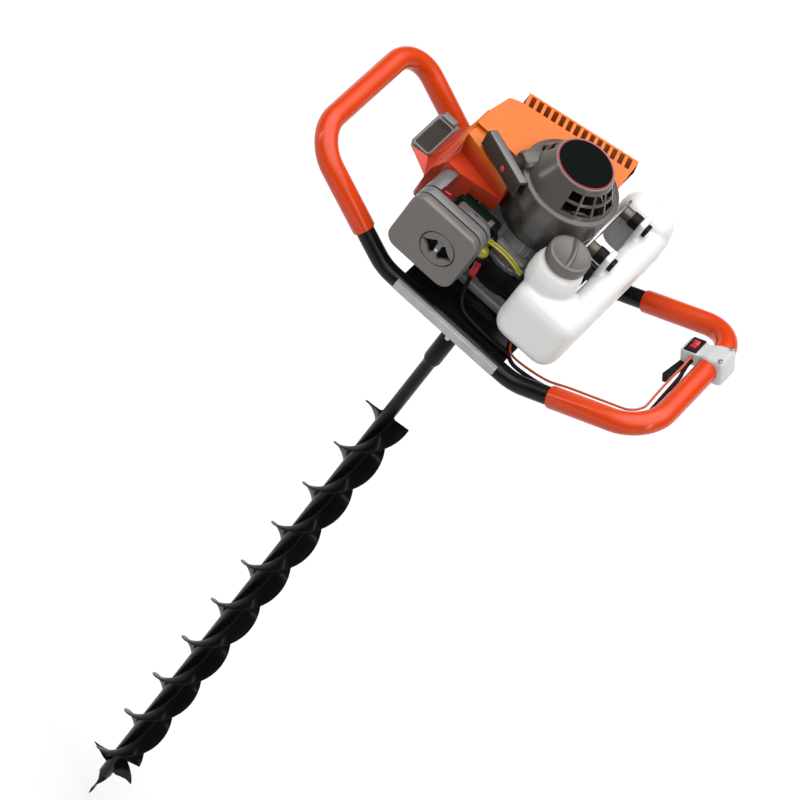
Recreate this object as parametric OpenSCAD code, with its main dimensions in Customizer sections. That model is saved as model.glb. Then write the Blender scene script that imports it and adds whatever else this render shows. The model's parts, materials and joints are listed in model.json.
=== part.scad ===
// Petrol earth auger: a two-stroke engine and reduction gearbox in a tube frame
// with a hand loop on each side, driving an auger bit on a vertical axis.
// Millimetres. The pilot tip is the origin, Z runs up the bit, X from hand loop to hand loop,
// Y from the air filter at the front (minus) to the muffler at the back (plus).

/* [Frame] */
// Outside diameter of the frame tube
tube_d = 22; // [18:0.5:26]
// Wall of the frame tube
tube_wall = 2; // [1.2:0.1:3]
// From the axis to the centre-line of the outer bars
frame_half_w = 250; // [235:1:280]
// From the axis to the centre-line of the front and back tubes
frame_half_d = 110; // [106:1:120]
// Height of the outer bars above the base tubes
grip_rise = 82; // [70:1:105]
// Where the arms start to rise
arm_foot = 98; // [92:1:106]
// Centre-line radius where the arms rise
bend_r = 60; // [40:1:80]
// Centre-line radius of the loop corners
corner_r = 45; // [34:1:55]
// Half length of the deck plate
deck_half_l = 75; // [72:1:80]
// Thickness of the deck plate
deck_t = 4; // [3:0.5:6]
// Top of the deck above the tube centre-line
deck_top = 8; // [7:0.5:9]
// Height of the rails along the tubes
rail_h = 12; // [10:0.5:14]
// Depth of the rails, outward
rail_w = 7.4; // [6.5:0.1:9]
// Start of the rails, outward from the tubes' centre-lines
rail_in = 6; // [5:0.5:6]
// Lower edge of the rails below the tubes' centre-lines
rail_drop = 3; // [2:0.5:5]

/* [Grips] */
// Wall of the grip sleeves
grip_wall = 2.4; // [1.5:0.1:4]
// Clearance of the sleeves on the tube
grip_gap = 0.2; // [0.15:0.01:0.3]
// Where the sleeves begin along the arms
grip_start = 48; // [40:1:70]

/* [Auger] */
// Pilot tip to the top of the drive socket
auger_l = 1090; // [900:5:1200]
// Height of the pilot point
pilot_h = 58; // [40:1:70]
// Width of the pilot point at its root
pilot_w = 17; // [12:0.5:22]
// Diameter of the bit's stem
stem_d = 16.5; // [14:0.5:18]
// Diameter over the flights
flight_d = 62; // [50:1:80]
// Number of flights round the stem
flight_starts = 2; // [1:1:2]
// Thickness of the flights
flight_t = 3; // [2:0.5:5]
// Rise of each flight in one turn
flight_pitch = 176.5; // [120:0.5:220]
// Height where the flights start
flight_low = 92; // [88:1:110]
// Height where the flights end
flight_top = 880; // [600:1:900]
// Angle of the first flight at its foot
flight_turn = 22; // [0:1:360]
// Direction of the cutting blades
blade_turn = 0; // [0:1:180]
// Diameter of the drive socket
socket_d = 22; // [21:0.5:26]
// Length of the drive socket
socket_h = 88; // [70:1:100]
// Depth of the socket's bore
socket_bore = 52; // [50:1:60]
// Reach of the cutting blades from the axis
blade_r = 36; // [32:0.5:44]
// Width of the cutting blades
blade_w = 24; // [18:0.5:28]
// Thickness of the cutting blades
blade_t = 4; // [3:0.5:6]
// Cutting blades below the foot of the flights
blade_drop = 12; // [10:0.5:16]
// Sink of the flights, blades and pilot into the stem
weld_in = 1.5; // [1:0.25:2]
// Tilt of the cutting blades
blade_tilt = 24; // [10:1:35]
// Diameter of the cross pin
cross_pin_d = 6; // [4:0.5:8]
// Cross pin below the socket's top
cross_pin_drop = 36; // [30:1:44]
// Stand-out of the cross pin on each side
cross_pin_out = 2; // [1:0.5:4]

/* [Gearbox] */
// Radius of the lower gear case
case_r = 61; // [60:0.5:64]
// Wall of the gear cases
case_wall = 3.5; // [3:0.25:4]
// Floor of the lower case below the tube centre-line
case_drop = 45; // [44:0.5:50]
// Nose of the lower case below the tube centre-line
nose_drop = 75; // [70:1:85]
// Radius of the nose at its tip
nose_r = 17; // [16.5:0.5:19]
// Gap between the nose and the drive socket
socket_gap = 4; // [2:0.5:8]
// Half width of the upper case flange
flange_half = 54; // [52:0.5:58]
// Thickness of the upper case flange
flange_t = 12; // [10:0.5:15]
// Case bolts from the axis along X and Y
bolt_off = 47; // [46:0.5:48]
// Diameter of the case bolts
bolt_d = 5; // [4:0.5:6]
// Gear tooth module
gear_m = 1; // [0.9:0.05:1]
// Teeth of the pinions
pinion_n = 11; // [11:1:12]
// Teeth of the wheels
wheel_n = 49; // [47:1:49]
// Tooth flank relief
gear_relief = 0.12; // [0.08:0.02:0.2]
// Diameter of the output shaft
out_d = 16; // [14:0.5:16]
// Running clearance of the shafts
run_gap = 0.05; // [0.03:0.01:0.08]
// Diameter of the output bearing
out_bearing_d = 28; // [26:0.5:30]

/* [Clutch] */
// Outside radius of the clutch housing
clutch_r = 46; // [44:0.5:50]
// Height of the clutch housing
clutch_h = 36; // [34:0.5:40]
// Outside radius of the clutch drum
drum_r = 37; // [35:0.5:39]
// Wall of the clutch drum
drum_wall = 3; // [2:0.25:4]
// Gap between the shoes and the drum
shoe_gap = 0.6; // [0.4:0.1:1]

/* [Engine] */
// Outside radius of the crankcase
crankcase_r = 44; // [42:0.5:48]
// Height of the crankcase
crankcase_h = 64; // [62:0.5:68]
// Wall of the crankcase
crankcase_wall = 10; // [9:0.5:12]
// Cylinder bore
bore_d = 44; // [40:0.5:46]
// Piston stroke
stroke = 34; // [30:1:36]
// Length of the connecting rod
rod_l = 66; // [64:1:70]
// Piston running clearance
piston_gap = 0.05; // [0.03:0.01:0.08]
// Height of the piston above its pin
piston_top = 16; // [14:1:18]
// Length of the piston below its pin
piston_skirt = 13; // [10:1:14]
// Crank web radius
web_r = 29; // [27:0.5:30]
// Crank web thickness
web_t = 11; // [9:0.5:11]
// Gap between the crank webs
web_gap = 14; // [13:0.5:16]
// Diameter of the crankshaft
crank_d = 16; // [14:0.5:17]
// Outer diameter of the crank bearings
crank_bearing_d = 30; // [28:0.5:32]
// Width of the cooling fins
fin_w = 84; // [78:1:86]
// Thickness of the cooling fins
fin_t = 2.5; // [2:0.25:3]
// Number of cooling fins
fin_n = 9; // [7:1:10]
// Radius of the port stubs
port_r = 13; // [12:0.5:13.5]
// Radius of the ports
port_bore_r = 9; // [8:0.5:10]
// Width of the muffler
muffler_w = 66; // [60:0.5:68]
// Height of the muffler
muffler_h = 78; // [70:0.5:80]
// Depth of the muffler
muffler_d = 50; // [44:0.5:54]
// Wall of the muffler
muffler_wall = 2; // [1.5:0.25:3]
// Radius of the exhaust pipe
pipe_r = 7; // [6:0.5:8]
// Radius of the flywheel
fly_r = 46; // [42:0.5:47]
// Number of fan blades
fan_n = 16; // [12:1:20]

/* [Starter] */
// Outside radius of the fan housing
fan_house_r = 56; // [55:0.5:60]
// Height of the fan housing
fan_house_h = 38; // [37:0.5:42]
// Wall of the fan and starter housings
house_wall = 3; // [2.5:0.25:4]
// Outside radius of the starter housing
starter_r = 58.5; // [54:0.5:59]
// Height of the starter housing's straight side
starter_side_h = 29; // [27:0.5:30]
// Height of the starter housing's cone
starter_cone_h = 32; // [31:0.5:36]
// Radius at the top of the cone
starter_top_r = 37; // [36.5:0.5:40]
// Radius of the badge
badge_r = 35.5; // [33:0.5:36]
// Stand-out of the badge
badge_t = 2; // [1.5:0.25:3]
// Number of grille columns round the cone
grille_n = 16; // [12:1:18]
// Height of each row of grille windows
grille_h = 10.5; // [9:0.25:11]
// Bars between the grille windows
grille_bar = 3.6; // [3:0.2:6]
// Stand-out of the starter housing's rim
starter_rim = 2; // [1:0.5:2]
// Height of the starter housing's rim
starter_rim_h = 5; // [3:0.5:8]
// Rope groove radius on the pulley
rope_r = 31; // [28:0.5:32]
// Diameter of the rope
rope_d = 4; // [3:0.25:5]
// Direction in which the rope leaves
rope_az = -122; // [-130:1:-115]
// Outer end of the rope boss along the rope
boss_reach = 56; // [55:0.5:58]
// Radius of the rope boss
boss_r = 10; // [8:0.5:11]
// Length of the pull handle's bar
pull_l = 82; // [70:1:90]
// Height of the pull handle's bar
pull_h = 22; // [16:0.5:22]
// Depth of the pull handle's bar along the rope
pull_d = 14; // [12:0.5:18]
// Tilt of the pull handle about the rope
pull_tilt = 8; // [0:1:8]
// Radius of the pull handle's stem
pull_stem_r = 9; // [7:0.5:10]
// Stem of the pull handle along the rope
pull_stem = 13; // [12:1:28]
// Pull handle's gap to the rope boss
pull_gap = 1; // [0.5:0.25:3]

/* [Covers] */
// Underside of the shroud's top plate above the base
shroud_low = 169; // [166:0.5:171]
// Wall of the shroud
shroud_t = 3; // [2.5:0.25:4]
// Front wall of the shroud
shroud_front = 46; // [45:0.5:49]
// Clearance of the shroud round the starter
shroud_gap = 1.5; // [1:0.25:3]
// Left end of the shroud's top plate from the axis
shroud_left = 125; // [118:0.5:130]
// Back corner of the shroud's top plate from the axis
shroud_back = 115; // [110:0.5:118]
// Half depth of the shroud's left side
shroud_side = 46; // [42:0.5:50]
// Foot of the shroud's walls above the base
shroud_foot = 52; // [48:0.5:60]
// Shoulder of the shroud's left side above the base
shroud_shoulder = 128; // [124:0.5:132]
// Number of heat slots
slot_n = 14; // [10:1:15]
// Width of the heat slots
slot_w = 5.5; // [4:0.25:6]
// Length of the heat slots
slot_l = 14; // [10:0.5:16]
// Pitch of the heat slots
slot_pitch = 9.9; // [9:0.1:10]
// Depth of the back lip
lip_h = 20; // [10:0.5:24]
// Flare of the shroud over the plug cover
shroud_flare = 9; // [6:0.5:12]
// Half width of the plug cover
plug_cover_half = 34; // [30:0.5:36]
// Reach of the plug cover beyond the shroud
plug_cover_l = 38; // [34:0.5:42]
// Draw-in of the plug cover towards its lower end
plug_taper = 20; // [12:1:20]

/* [Intake] */
// Front face of the filter cover from the axis
filter_front = 122; // [120:0.5:128]
// Width of the air filter
filter_w = 94; // [86:0.5:98]
// Height of the air filter
filter_h = 88; // [82:0.5:92]
// Corner radius of the air filter
filter_r = 16; // [12:0.5:20]
// Depth of the filter cover and of the filter base
filter_t = 13; // [12:0.5:14]
// Width of the seams
seam_w = 2; // [1.5:0.25:2.5]
// Inset of the seams
seam_in = 3; // [2:0.25:4]
// Radius of the knob dish
dish_r = 23; // [20:0.5:26]
// Depth of the knob dish
dish_t = 6; // [5:0.25:7]
// Width of the knob's grip bar
knob_w = 10; // [8:0.5:12]
// Primer bulb radius
bulb_r = 9; // [7:0.5:9]
// Stroke of the primer bulb
bulb_press = 4; // [3:0.25:5]
// Room behind the pressed primer bulb
bulb_gap = 1; // [0.5:0.25:2]
// Thickness of the insulator
insulator_t = 12; // [10:0.5:14]

/* [Fuel] */
// Bottom of the tank above the base
tank_low = 22; // [20:0.5:26]
// Rounding of the tank
tank_r = 22; // [18:0.5:24]
// Outer side of the tank
tank_out = 120; // [116:0.5:126]
// Inner side of the tank's front lobe
tank_in = 33; // [31:0.5:36]
// Front of the tank from the axis
tank_front = 112; // [108:0.5:114]
// Back of the tank from the axis
tank_back = 142; // [138:0.5:146]
// Back of the tank's front lobe from the axis
tank_split = 48; // [46:0.5:52]
// Top of the tank's front lobe above the base
tank_top = 122; // [118:0.5:126]
// Inner side of the tank's bridge
bridge_in = 84; // [82:0.5:88]
// Rounding of the tank's bridge
bridge_r = 17; // [14:0.5:17.5]
// Inner side of the tank's back lobe
lobe_in = 47; // [44:0.5:52]
// Front of the tank's back lobe from the axis
lobe_front = 97; // [96:0.5:99]
// Bottom of the tank's back lobe above the base
lobe_low = 50; // [46:0.5:54]
// Top of the tank's back lobe above the base
lobe_top = 133; // [128:0.5:136]
// Height of the tank mounts above the base
mount_z = 130; // [128:0.5:132]
// Radius of the tank's rubber mounts
bush_r = 9.5; // [8:0.25:10]
// Radius of the mounts' studs
stud_r = 3; // [2.5:0.25:3.5]
// Clearance of the studs in their holes
stud_gap = 0.2; // [0.1:0.05:0.4]
// Thickness of the tank's lugs
lug_t = 8; // [6:0.5:10]
// Width of the tank's lugs
lug_w = 22; // [20:0.5:24]
// Height of the fuel outlet above the base
line_z = 100; // [96:0.5:102]
// Radius of the tank grommet
grommet_r = 5.9; // [5.5:0.1:6.5]
// Wall of the tank
tank_wall = 3; // [2:0.25:4]
// Filler place along X
filler_x = 55; // [54:0.5:58]
// Filler place along Y
filler_y = -68; // [-70:0.5:-66]
// Top of the filler neck above the base
neck_top = 166; // [164:0.5:168]
// Outer radius of the filler neck
neck_r = 18; // [17:0.25:19]
// Bore of the filler neck
neck_bore = 30; // [27:0.5:31]
// Radius of the fuel cap
cap_r = 26; // [24:0.25:27]
// Height of the fuel cap
cap_h = 16; // [14:0.5:18]
// Clearance of the cap round the neck
cap_gap = 0.5; // [0.35:0.05:0.8]
// Outer diameter of the fuel lines
line_d = 5; // [4:0.25:6]

/* [Controls] */
// Middle of the switch housing along the right bar
switch_y = 46; // [40:1:48]
// Length of the switch housing along the bar
switch_l = 40; // [36:1:44]
// Reach of the housing toward the engine
switch_in = 36; // [34:0.5:40]
// Half height of the housing at the bar
switch_half_h = 17; // [16:0.5:20]
// Clearance of the clamp on the grip sleeve
clamp_gap = 0.1; // [0.05:0.01:0.2]
// Length of the throttle trigger
trigger_l = 56; // [50:1:60]
// Diameter of the trigger's pivot
trigger_pin_d = 6; // [5:0.5:7]
// Clearance of the trigger on its pivot
trigger_gap = 0.05; // [0.03:0.01:0.08]
// Diameter of the throttle cable
cable_d = 5; // [4:0.25:6]
// Diameter of the switch leads
lead_d = 3; // [2:0.25:4]
// Clearance of the throttle cable from the grip sleeve
cable_gap = 3; // [2:0.25:4]
// Clearance of the cable over the deck and of the leads from the cable
route_gap = 1.5; // [1:0.25:3]

/* [Hidden] */
$fn = 48;
tube_r = tube_d / 2;
grip_r = tube_r + grip_gap + grip_wall;
arm_run = frame_half_w - arm_foot;
arm_a = atan2(grip_rise, arm_run);
arm_l = norm([arm_run, grip_rise]);
bend_t = bend_r * tan(arm_a / 2);
bend_full = 0.08;
bend_lap = 2;
base_z = auger_l + socket_gap + nose_drop;

// heights above the tube centre-line
flange_z = deck_top;
clutch_z = flange_z + flange_t;
crankcase_z = clutch_z + clutch_h;
crank_z = crankcase_z + crankcase_h / 2 + 2;
fan_z = crankcase_z + crankcase_h;
starter_z = fan_z + fan_house_h;
cone_z = starter_z + starter_side_h;
rope_below = 1;
grille_low = 4;
badge_z = cone_z + starter_cone_h + 2;
rope_z = cone_z - rope_below;

// gears
pinion_r = pinion_n * gear_m / 2;
wheel_r = wheel_n * gear_m / 2;
gear_off = pinion_r + wheel_r;
wheel2_z = -35;
wheel2_t = 12;
wheel1_z = -19;
wheel1_t = 10;
idle_r = 3.8;
in_r = 4;

// crank and piston
pin_rest = stroke / 2 - rod_l;
throw_r = stroke / 2;
bore_r = bore_d / 2;
cyl_foot = 50;
head_x = -(rod_l + throw_r + piston_top + 2);
cyl_end = head_x - 11;

// rope line
pull_at = boss_reach + pull_gap;
bar_wall = 2.5;
bar_hollow = 6;

// filter places
filter_x = -71;
filter_zc = 88;
knob_x = -61;
carb_x = -56;
cover_back = -filter_front + filter_t;
base_front = cover_back + seam_w;
base_back = base_front + filter_t;
cowl_front = base_back + seam_w;
cowl_back = -54;
port_x = carb_x - 8;
port_end = fin_w / 2 + 2;
muffler_x = carb_x - 15;
muffler_y = port_end + 2;
pipe_x = carb_x - 60;
bulb_x = carb_x + 24;
bulb_y = -74;
anchor_y = -60.5;
anchor_z = 20.8;
choke_x = -86;
choke_z = 14;

// shroud places, its plate's outline in shares of shroud_left and shroud_back
shroud_wall = shroud_left + 7;
shroud_step = 12;
plug_lid = 12;
plug_lid_t = 8;
plug_deep = 30;
front_end = 50;
slot_turn = 14;
function plate_pt(x, y) = [x * shroud_left, y * shroud_back];
plate = [plate_pt(-1, -0.1), plate_pt(-0.99, 0.13), plate_pt(-0.98, 0.3), plate_pt(-0.95, 0.45),
    plate_pt(-0.88, 0.5), plate_pt(-0.85, 0.7), plate_pt(0.28, 1), plate_pt(0.32, 0.57),
    plate_pt(0.32, -0.17), plate_pt(-0.43, -0.17), plate_pt(-0.72, -0.1)];
lip = [plate_pt(-0.85, 0.7), plate_pt(0.28, 1), plate_pt(0.32, 0.57), plate_pt(0.288, 0.56),
    plate_pt(0.252, 0.957), plate_pt(-0.825, 0.665), plate_pt(-0.852, 0.487), plate_pt(-0.88, 0.5)];
post_x = [-0.736 * shroud_left, -0.56 * shroud_left];
post_y = 25;
post_r = 4;

// routes of the cable and leads on the right loop
lead_x = switch_in - 15;
cable_up = 4;
lead_up = 10;
cable_dip = -4;
cable_near = grip_r + cable_d / 2 + cable_gap;
lead_near = cable_near + cable_d / 2 + lead_d / 2 + route_gap;

// tank places
mount_y = [4, 84];
lug_x = bridge_in - 1;
bracket_x = fan_house_r + 0.5;
bracket_t = 3;
line_y = bulb_y;
shoulder_z = tank_top - 4;
face_gap = 0.05;
plug_top = crank_z + plug_lid + face_gap;

// helpers
module lift(z) {
    translate([0, 0, base_z + z]) children();
}
module ring(ro, ri, h) {
    difference() {
        cylinder(r = ro, h = h);
        translate([0, 0, -1]) cylinder(r = ri, h = h + 2);
    }
}
// plate with round corners, centred in X and Y, standing on z = 0
module slab(w, d, h, r) {
    translate([-w / 2 + r, -d / 2, 0]) cube([w - 2 * r, d, h]);
    translate([-w / 2, -d / 2 + r, 0]) cube([w, d - 2 * r, h]);
    for (i = [-1, 1], j = [-1, 1]) {
        translate([i * (w / 2 - r), j * (d / 2 - r), 0]) cylinder(r = r, h = h);
    }
}
// the same plate standing up, its front face at y
module wall_slab(x, y, z, w, h, t, r) {
    translate([x, y + t, z]) rotate([90, 0, 0]) slab(w, h, t, r);
}
module rod_y(x, y, z, r, l) {
    translate([x, y, z]) rotate([-90, 0, 0]) cylinder(r = r, h = l);
}
module rod_x(x, y, z, r, l) {
    translate([x, y, z]) rotate([0, 90, 0]) cylinder(r = r, h = l);
}

// frame of one hand loop: x along the arm, y along the bar
module loop_frame(k) {
    rotate([0, 0, 180 * k]) translate([arm_foot, 0, 0]) rotate([0, -arm_a, 0]) children();
}
function loop_pt(p) = [arm_foot + p[0] * cos(arm_a) - p[2] * sin(arm_a), p[1],
    base_z + p[0] * sin(arm_a) + p[2] * cos(arm_a)];
// bends are drawn a hair fuller than the straights, which run a little way into them
module loop_path(r, from, full = 0, lap = 0) {
    for (s = [-1, 1]) {
        translate([from, s * frame_half_d, 0]) rotate([0, 90, 0])
            cylinder(r = r, h = arm_l - corner_r - from + lap);
        translate([arm_l - corner_r, s * (frame_half_d - corner_r), 0])
            rotate([0, 0, s > 0 ? 0 : -90]) rotate_extrude(angle = 90)
            translate([corner_r, 0]) circle(r = r + full);
    }
    translate([arm_l, corner_r - frame_half_d - lap, 0]) rotate([-90, 0, 0])
        cylinder(r = r, h = 2 * (frame_half_d - corner_r + lap));
}
module frame_path(r) {
    for (s = [-1, 1]) {
        translate([bend_t - arm_foot - bend_lap, s * frame_half_d, 0]) rotate([0, 90, 0])
            cylinder(r = r, h = 2 * (arm_foot - bend_t + bend_lap));
    }
    for (k = [0, 1]) {
        rotate([0, 0, 180 * k]) for (s = [-1, 1]) {
            translate([arm_foot - bend_t, s * frame_half_d, bend_r]) rotate([90, 0, 0])
                rotate([0, 0, -90]) rotate_extrude(angle = arm_a)
                translate([bend_r, 0]) circle(r = r + bend_full);
        }
        loop_frame(k) loop_path(r, bend_t - bend_lap, bend_full, bend_lap);
    }
}

// round cord along a row of points
function unit(v) = v / norm(v);
function heading(p, i) = unit(p[min(i + 1, len(p) - 1)] - p[max(i - 1, 0)]);
function cord_ring(p, i, r, n) = let (t = heading(p, i), u = unit(cross(t, [0.31, 0.23, 0.92])),
    w = cross(t, u)) [for (k = [0 : n - 1]) p[i] + r * (cos(360 * k / n) * u + sin(360 * k / n) * w)];
module cord(p, d, n = 10) {
    m = len(p);
    pts = [for (i = [0 : m - 1]) each cord_ring(p, i, d / 2, n)];
    sides = [for (i = [0 : m - 2], k = [0 : n - 1]) each let (k1 = (k + 1) % n) [
        [(i + 1) * n + k, (i + 1) * n + k1, i * n + k1], [(i + 1) * n + k, i * n + k1, i * n + k]]];
    first = [for (k = [0 : n - 1]) k];
    last = [for (k = [n - 1 : -1 : 0]) (m - 1) * n + k];
    polyhedron(points = pts, faces = concat(sides, [first], [last]), convexity = 6);
}

// spur gear with a tooth on the +X axis
function inv(a) = tan(a) * 180 / PI - a;
function half_at(n, r) = let (rb = n * gear_m / 2 * cos(20), rp = n * gear_m / 2)
    90 / n - gear_relief / rp * 180 / PI + inv(20) - inv(acos(min(1, rb / max(r, rb))));
module gear(n, t) {
    rp = n * gear_m / 2;
    rt = rp + 0.9 * gear_m;
    rf = rp - 1.25 * gear_m;
    rm = rp - 0.35 * gear_m;
    pts = [for (i = [0 : n - 1]) each let (c = 360 * i / n) [
        rf * [cos(c - half_at(n, rf)), sin(c - half_at(n, rf))],
        rm * [cos(c - half_at(n, rm)), sin(c - half_at(n, rm))],
        rp * [cos(c - half_at(n, rp)), sin(c - half_at(n, rp))],
        rt * [cos(c - half_at(n, rt)), sin(c - half_at(n, rt))],
        rt * [cos(c + half_at(n, rt)), sin(c + half_at(n, rt))],
        rp * [cos(c + half_at(n, rp)), sin(c + half_at(n, rp))],
        rm * [cos(c + half_at(n, rm)), sin(c + half_at(n, rm))],
        rf * [cos(c + half_at(n, rf)), sin(c + half_at(n, rf))]]];
    linear_extrude(height = t) polygon(pts);
}

// frame
module frame_tube() {
    color("#141414") lift(0) difference() {
        frame_path(tube_r);
        frame_path(tube_r - tube_wall);
        for (i = [-1, 1], s = [-1, 1]) {
            translate([i * (deck_half_l + 8), s * frame_half_d, -tube_d]) cylinder(r = 2.5, h = tube_d);
        }
    }
}
module deck_plate() {
    color("#101010") lift(deck_top - deck_t) difference() {
        translate([-deck_half_l, -frame_half_d + 6, 0])
            cube([2 * deck_half_l, 2 * frame_half_d - 12, deck_t]);
        translate([0, 0, -1]) cylinder(r = case_r - 9, h = deck_t + 2);
        for (i = [-1, 1], j = [-1, 1]) {
            translate([i * bolt_off, j * bolt_off, -1]) cylinder(d = bolt_d + 0.4, h = deck_t + 2);
        }
    }
}
module mount_rails() {
    color("#9a9c9e") lift(0) difference() {
        for (s = [-1, 1]) {
            translate([-deck_half_l, s * (frame_half_d + rail_in + rail_w / 2) - rail_w / 2, -rail_drop])
                cube([2 * deck_half_l, rail_w, rail_h]);
        }
        for (s = [-1, 1]) {
            translate([-deck_half_l - 1, s * frame_half_d, 0]) rotate([0, 90, 0])
                cylinder(r = tube_r + 0.05, h = 2 * deck_half_l + 2);
        }
    }
}
module left_grip() {
    color("#e8470f") lift(0) loop_frame(1) difference() {
        loop_path(grip_r, grip_start);
        loop_path(tube_r + grip_gap, grip_start - 1);
    }
}
module right_grip() {
    color("#e8470f") lift(0) loop_frame(0) difference() {
        loop_path(grip_r, grip_start);
        loop_path(tube_r + grip_gap, grip_start - 1);
    }
}

// gearbox
module lower_gear_case() {
    color("#a8aaac") lift(0) difference() {
        union() {
            translate([0, 0, -case_drop]) cylinder(r = case_r, h = case_drop + deck_top - deck_t);
            translate([0, 0, deck_top - deck_t - 6]) slab(2 * bolt_off + 14, 2 * bolt_off + 14, 6, 10);
            translate([0, 0, -nose_drop])
                cylinder(r1 = nose_r, r2 = 40, h = nose_drop - case_drop + 0.5);
        }
        translate([0, 0, 4 - case_drop]) cylinder(r = case_r - case_wall, h = case_drop + deck_top);
        translate([0, 0, -nose_drop - 1]) cylinder(r = out_d / 2 + 1, h = nose_drop);
        translate([0, 0, -case_drop - 14]) cylinder(d = out_bearing_d, h = 40);
        translate([0, gear_off, -case_drop - 4]) cylinder(r = idle_r + run_gap, h = 20);
        for (i = [-1, 1], j = [-1, 1]) {
            translate([i * bolt_off, j * bolt_off, -10]) cylinder(d = bolt_d + 0.4, h = 30);
        }
    }
}
module upper_gear_case() {
    color("#b4b6b8") lift(flange_z) difference() {
        union() {
            slab(2 * flange_half, 2 * flange_half, flange_t, 8);
            translate([0, 0, flange_t - 0.5]) cylinder(r = clutch_r - 8, h = 3);
        }
        translate([0, 0, -1]) cylinder(r = in_r + run_gap, h = flange_t + 6);
        translate([0, gear_off, -1]) cylinder(r = idle_r + run_gap, h = 8);
        for (i = [-1, 1], j = [-1, 1]) {
            translate([i * bolt_off, j * bolt_off, -1]) cylinder(d = bolt_d + 0.4, h = flange_t + 2);
        }
    }
}
module case_bolts() {
    color("#5c5e60") lift(0) for (i = [-1, 1], j = [-1, 1]) translate([i * bolt_off, j * bolt_off, 0]) {
        translate([0, 0, deck_top - deck_t - 10]) cylinder(d = bolt_d, h = flange_t + deck_t + 10);
        translate([0, 0, clutch_z]) cylinder(d = 9, h = 4.5, $fn = 6);
        translate([0, 0, deck_top - deck_t - 10]) cylinder(d = 9, h = 4, $fn = 6);
    }
}
module bearings() {
    color("#c4c6c8") {
        lift(-case_drop - 14) ring(out_bearing_d / 2 - 0.02, out_d / 2 + run_gap, 14);
        lift(crankcase_z) ring(crank_bearing_d / 2 - 0.02, crank_d / 2 + run_gap, crankcase_wall - 1);
        lift(fan_z - crankcase_wall + 1)
            ring(crank_bearing_d / 2 - 0.02, crank_d / 2 + run_gap, crankcase_wall - 1);
    }
}

// clutch housing and engine
module clutch_housing() {
    color("#1c1c1c") lift(clutch_z) difference() {
        union() {
            cylinder(r = clutch_r, h = clutch_h);
            slab(2 * flange_half - 26, 2 * flange_half - 26, 5, 12);
        }
        translate([0, 0, -1]) cylinder(r = drum_r + 3, h = clutch_h - 4);
        translate([0, 0, -1]) cylinder(r = crank_bearing_d / 2 + 3, h = clutch_h + 2);
    }
}
module crankcase() {
    color("#8e8c88") lift(crankcase_z) difference() {
        union() {
            cylinder(r = crankcase_r, h = crankcase_h);
            translate([-cyl_foot, -34, 2]) cube([cyl_foot, 68, crankcase_h - 4]);
            for (a = [35, 145, 215, 325]) rotate([0, 0, a])
                translate([crankcase_r + 3, 0, 0]) cylinder(r = 6, h = crankcase_h);
            translate([-20, -crankcase_r - 6, crankcase_h / 2 - 3]) cube([40, 14, 6]);
        }
        translate([0, 0, crankcase_wall]) cylinder(r = web_r + 3, h = crankcase_h - 2 * crankcase_wall);
        translate([0, 0, -1]) cylinder(d = crank_bearing_d, h = crankcase_h + 2);
        rod_x(-cyl_foot - 1, 0, crank_z - crankcase_z, bore_r + 1, cyl_foot - crank_bearing_d / 2 - 4);
        for (a = [35, 145, 215, 325]) rotate([0, 0, a])
            translate([crankcase_r + 3, 0, crankcase_h - 14]) cylinder(r = 2.4, h = 20);
    }
}
module cylinder_block() {
    color("#a9aaab") lift(crank_z) difference() {
        union() {
            translate([-cyl_foot - 6, -32, -29]) cube([6, 64, 58]);
            rod_x(cyl_end, 0, 0, bore_r + 6, -cyl_foot - cyl_end);
            for (i = [0 : fin_n - 1]) {
                translate([cyl_end + 2 + i * (-cyl_foot - 12 - cyl_end) / fin_n, -fin_w / 2, -fin_w / 2])
                    cube([fin_t, fin_w, fin_w]);
            }
            rod_y(port_x, -port_end, 0, port_r, port_end - bore_r + 8);
            rod_y(port_x, bore_r - 8, 0, port_r, port_end - bore_r + 8);
        }
        rod_x(head_x, 0, 0, bore_r, -head_x);
        rod_x(cyl_end - 1, 0, 0, 5, 30);
        rod_y(port_x, -port_end - 1, 0, port_bore_r, port_end - bore_r + 10);
        rod_y(port_x, bore_r - 8, 0, port_bore_r, port_end - bore_r + 10);
    }
}
module spark_plug() {
    color("#d8d6d0") lift(crank_z) {
        rod_x(cyl_end, 0, 0, 4.95, head_x - cyl_end);
        translate([cyl_end - 8, 0, 0]) rotate([0, 90, 0]) cylinder(d = 20, h = 8, $fn = 6);
        rod_x(cyl_end - 26, 0, 0, 6, 18.5);
        rod_x(cyl_end - 34, 0, 0, 3, 8.5);
    }
}
module muffler() {
    color("#6a6460") lift(crank_z) difference() {
        union() {
            wall_slab(muffler_x, muffler_y, 0, muffler_w, muffler_h, muffler_d, 12);
            wall_slab(port_x, port_end, 0, 2 * port_r + 16, 2 * port_r + 8,
                muffler_y - port_end + muffler_wall, 8);
            rod_x(pipe_x, muffler_y + muffler_d - 2 * pipe_r + 4, -24, pipe_r, 20);
        }
        rod_y(port_x, port_end - 1, 0, port_bore_r, 12);
        wall_slab(muffler_x, muffler_y + muffler_wall, 0, muffler_w - 2 * muffler_wall,
            muffler_h - 2 * muffler_wall, muffler_d - 2 * muffler_wall, 10);
        rod_x(pipe_x - 2, muffler_y + muffler_d - 2 * pipe_r + 4, -24, pipe_r - 2, 30);
    }
}
module insulator() {
    color("#1d2a22") lift(crank_z) difference() {
        wall_slab(carb_x, -port_end - insulator_t, 0, 58, 40, insulator_t, 5);
        rod_y(port_x, -port_end - insulator_t - 1, 0, port_bore_r, insulator_t + 2);
    }
}
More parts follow.
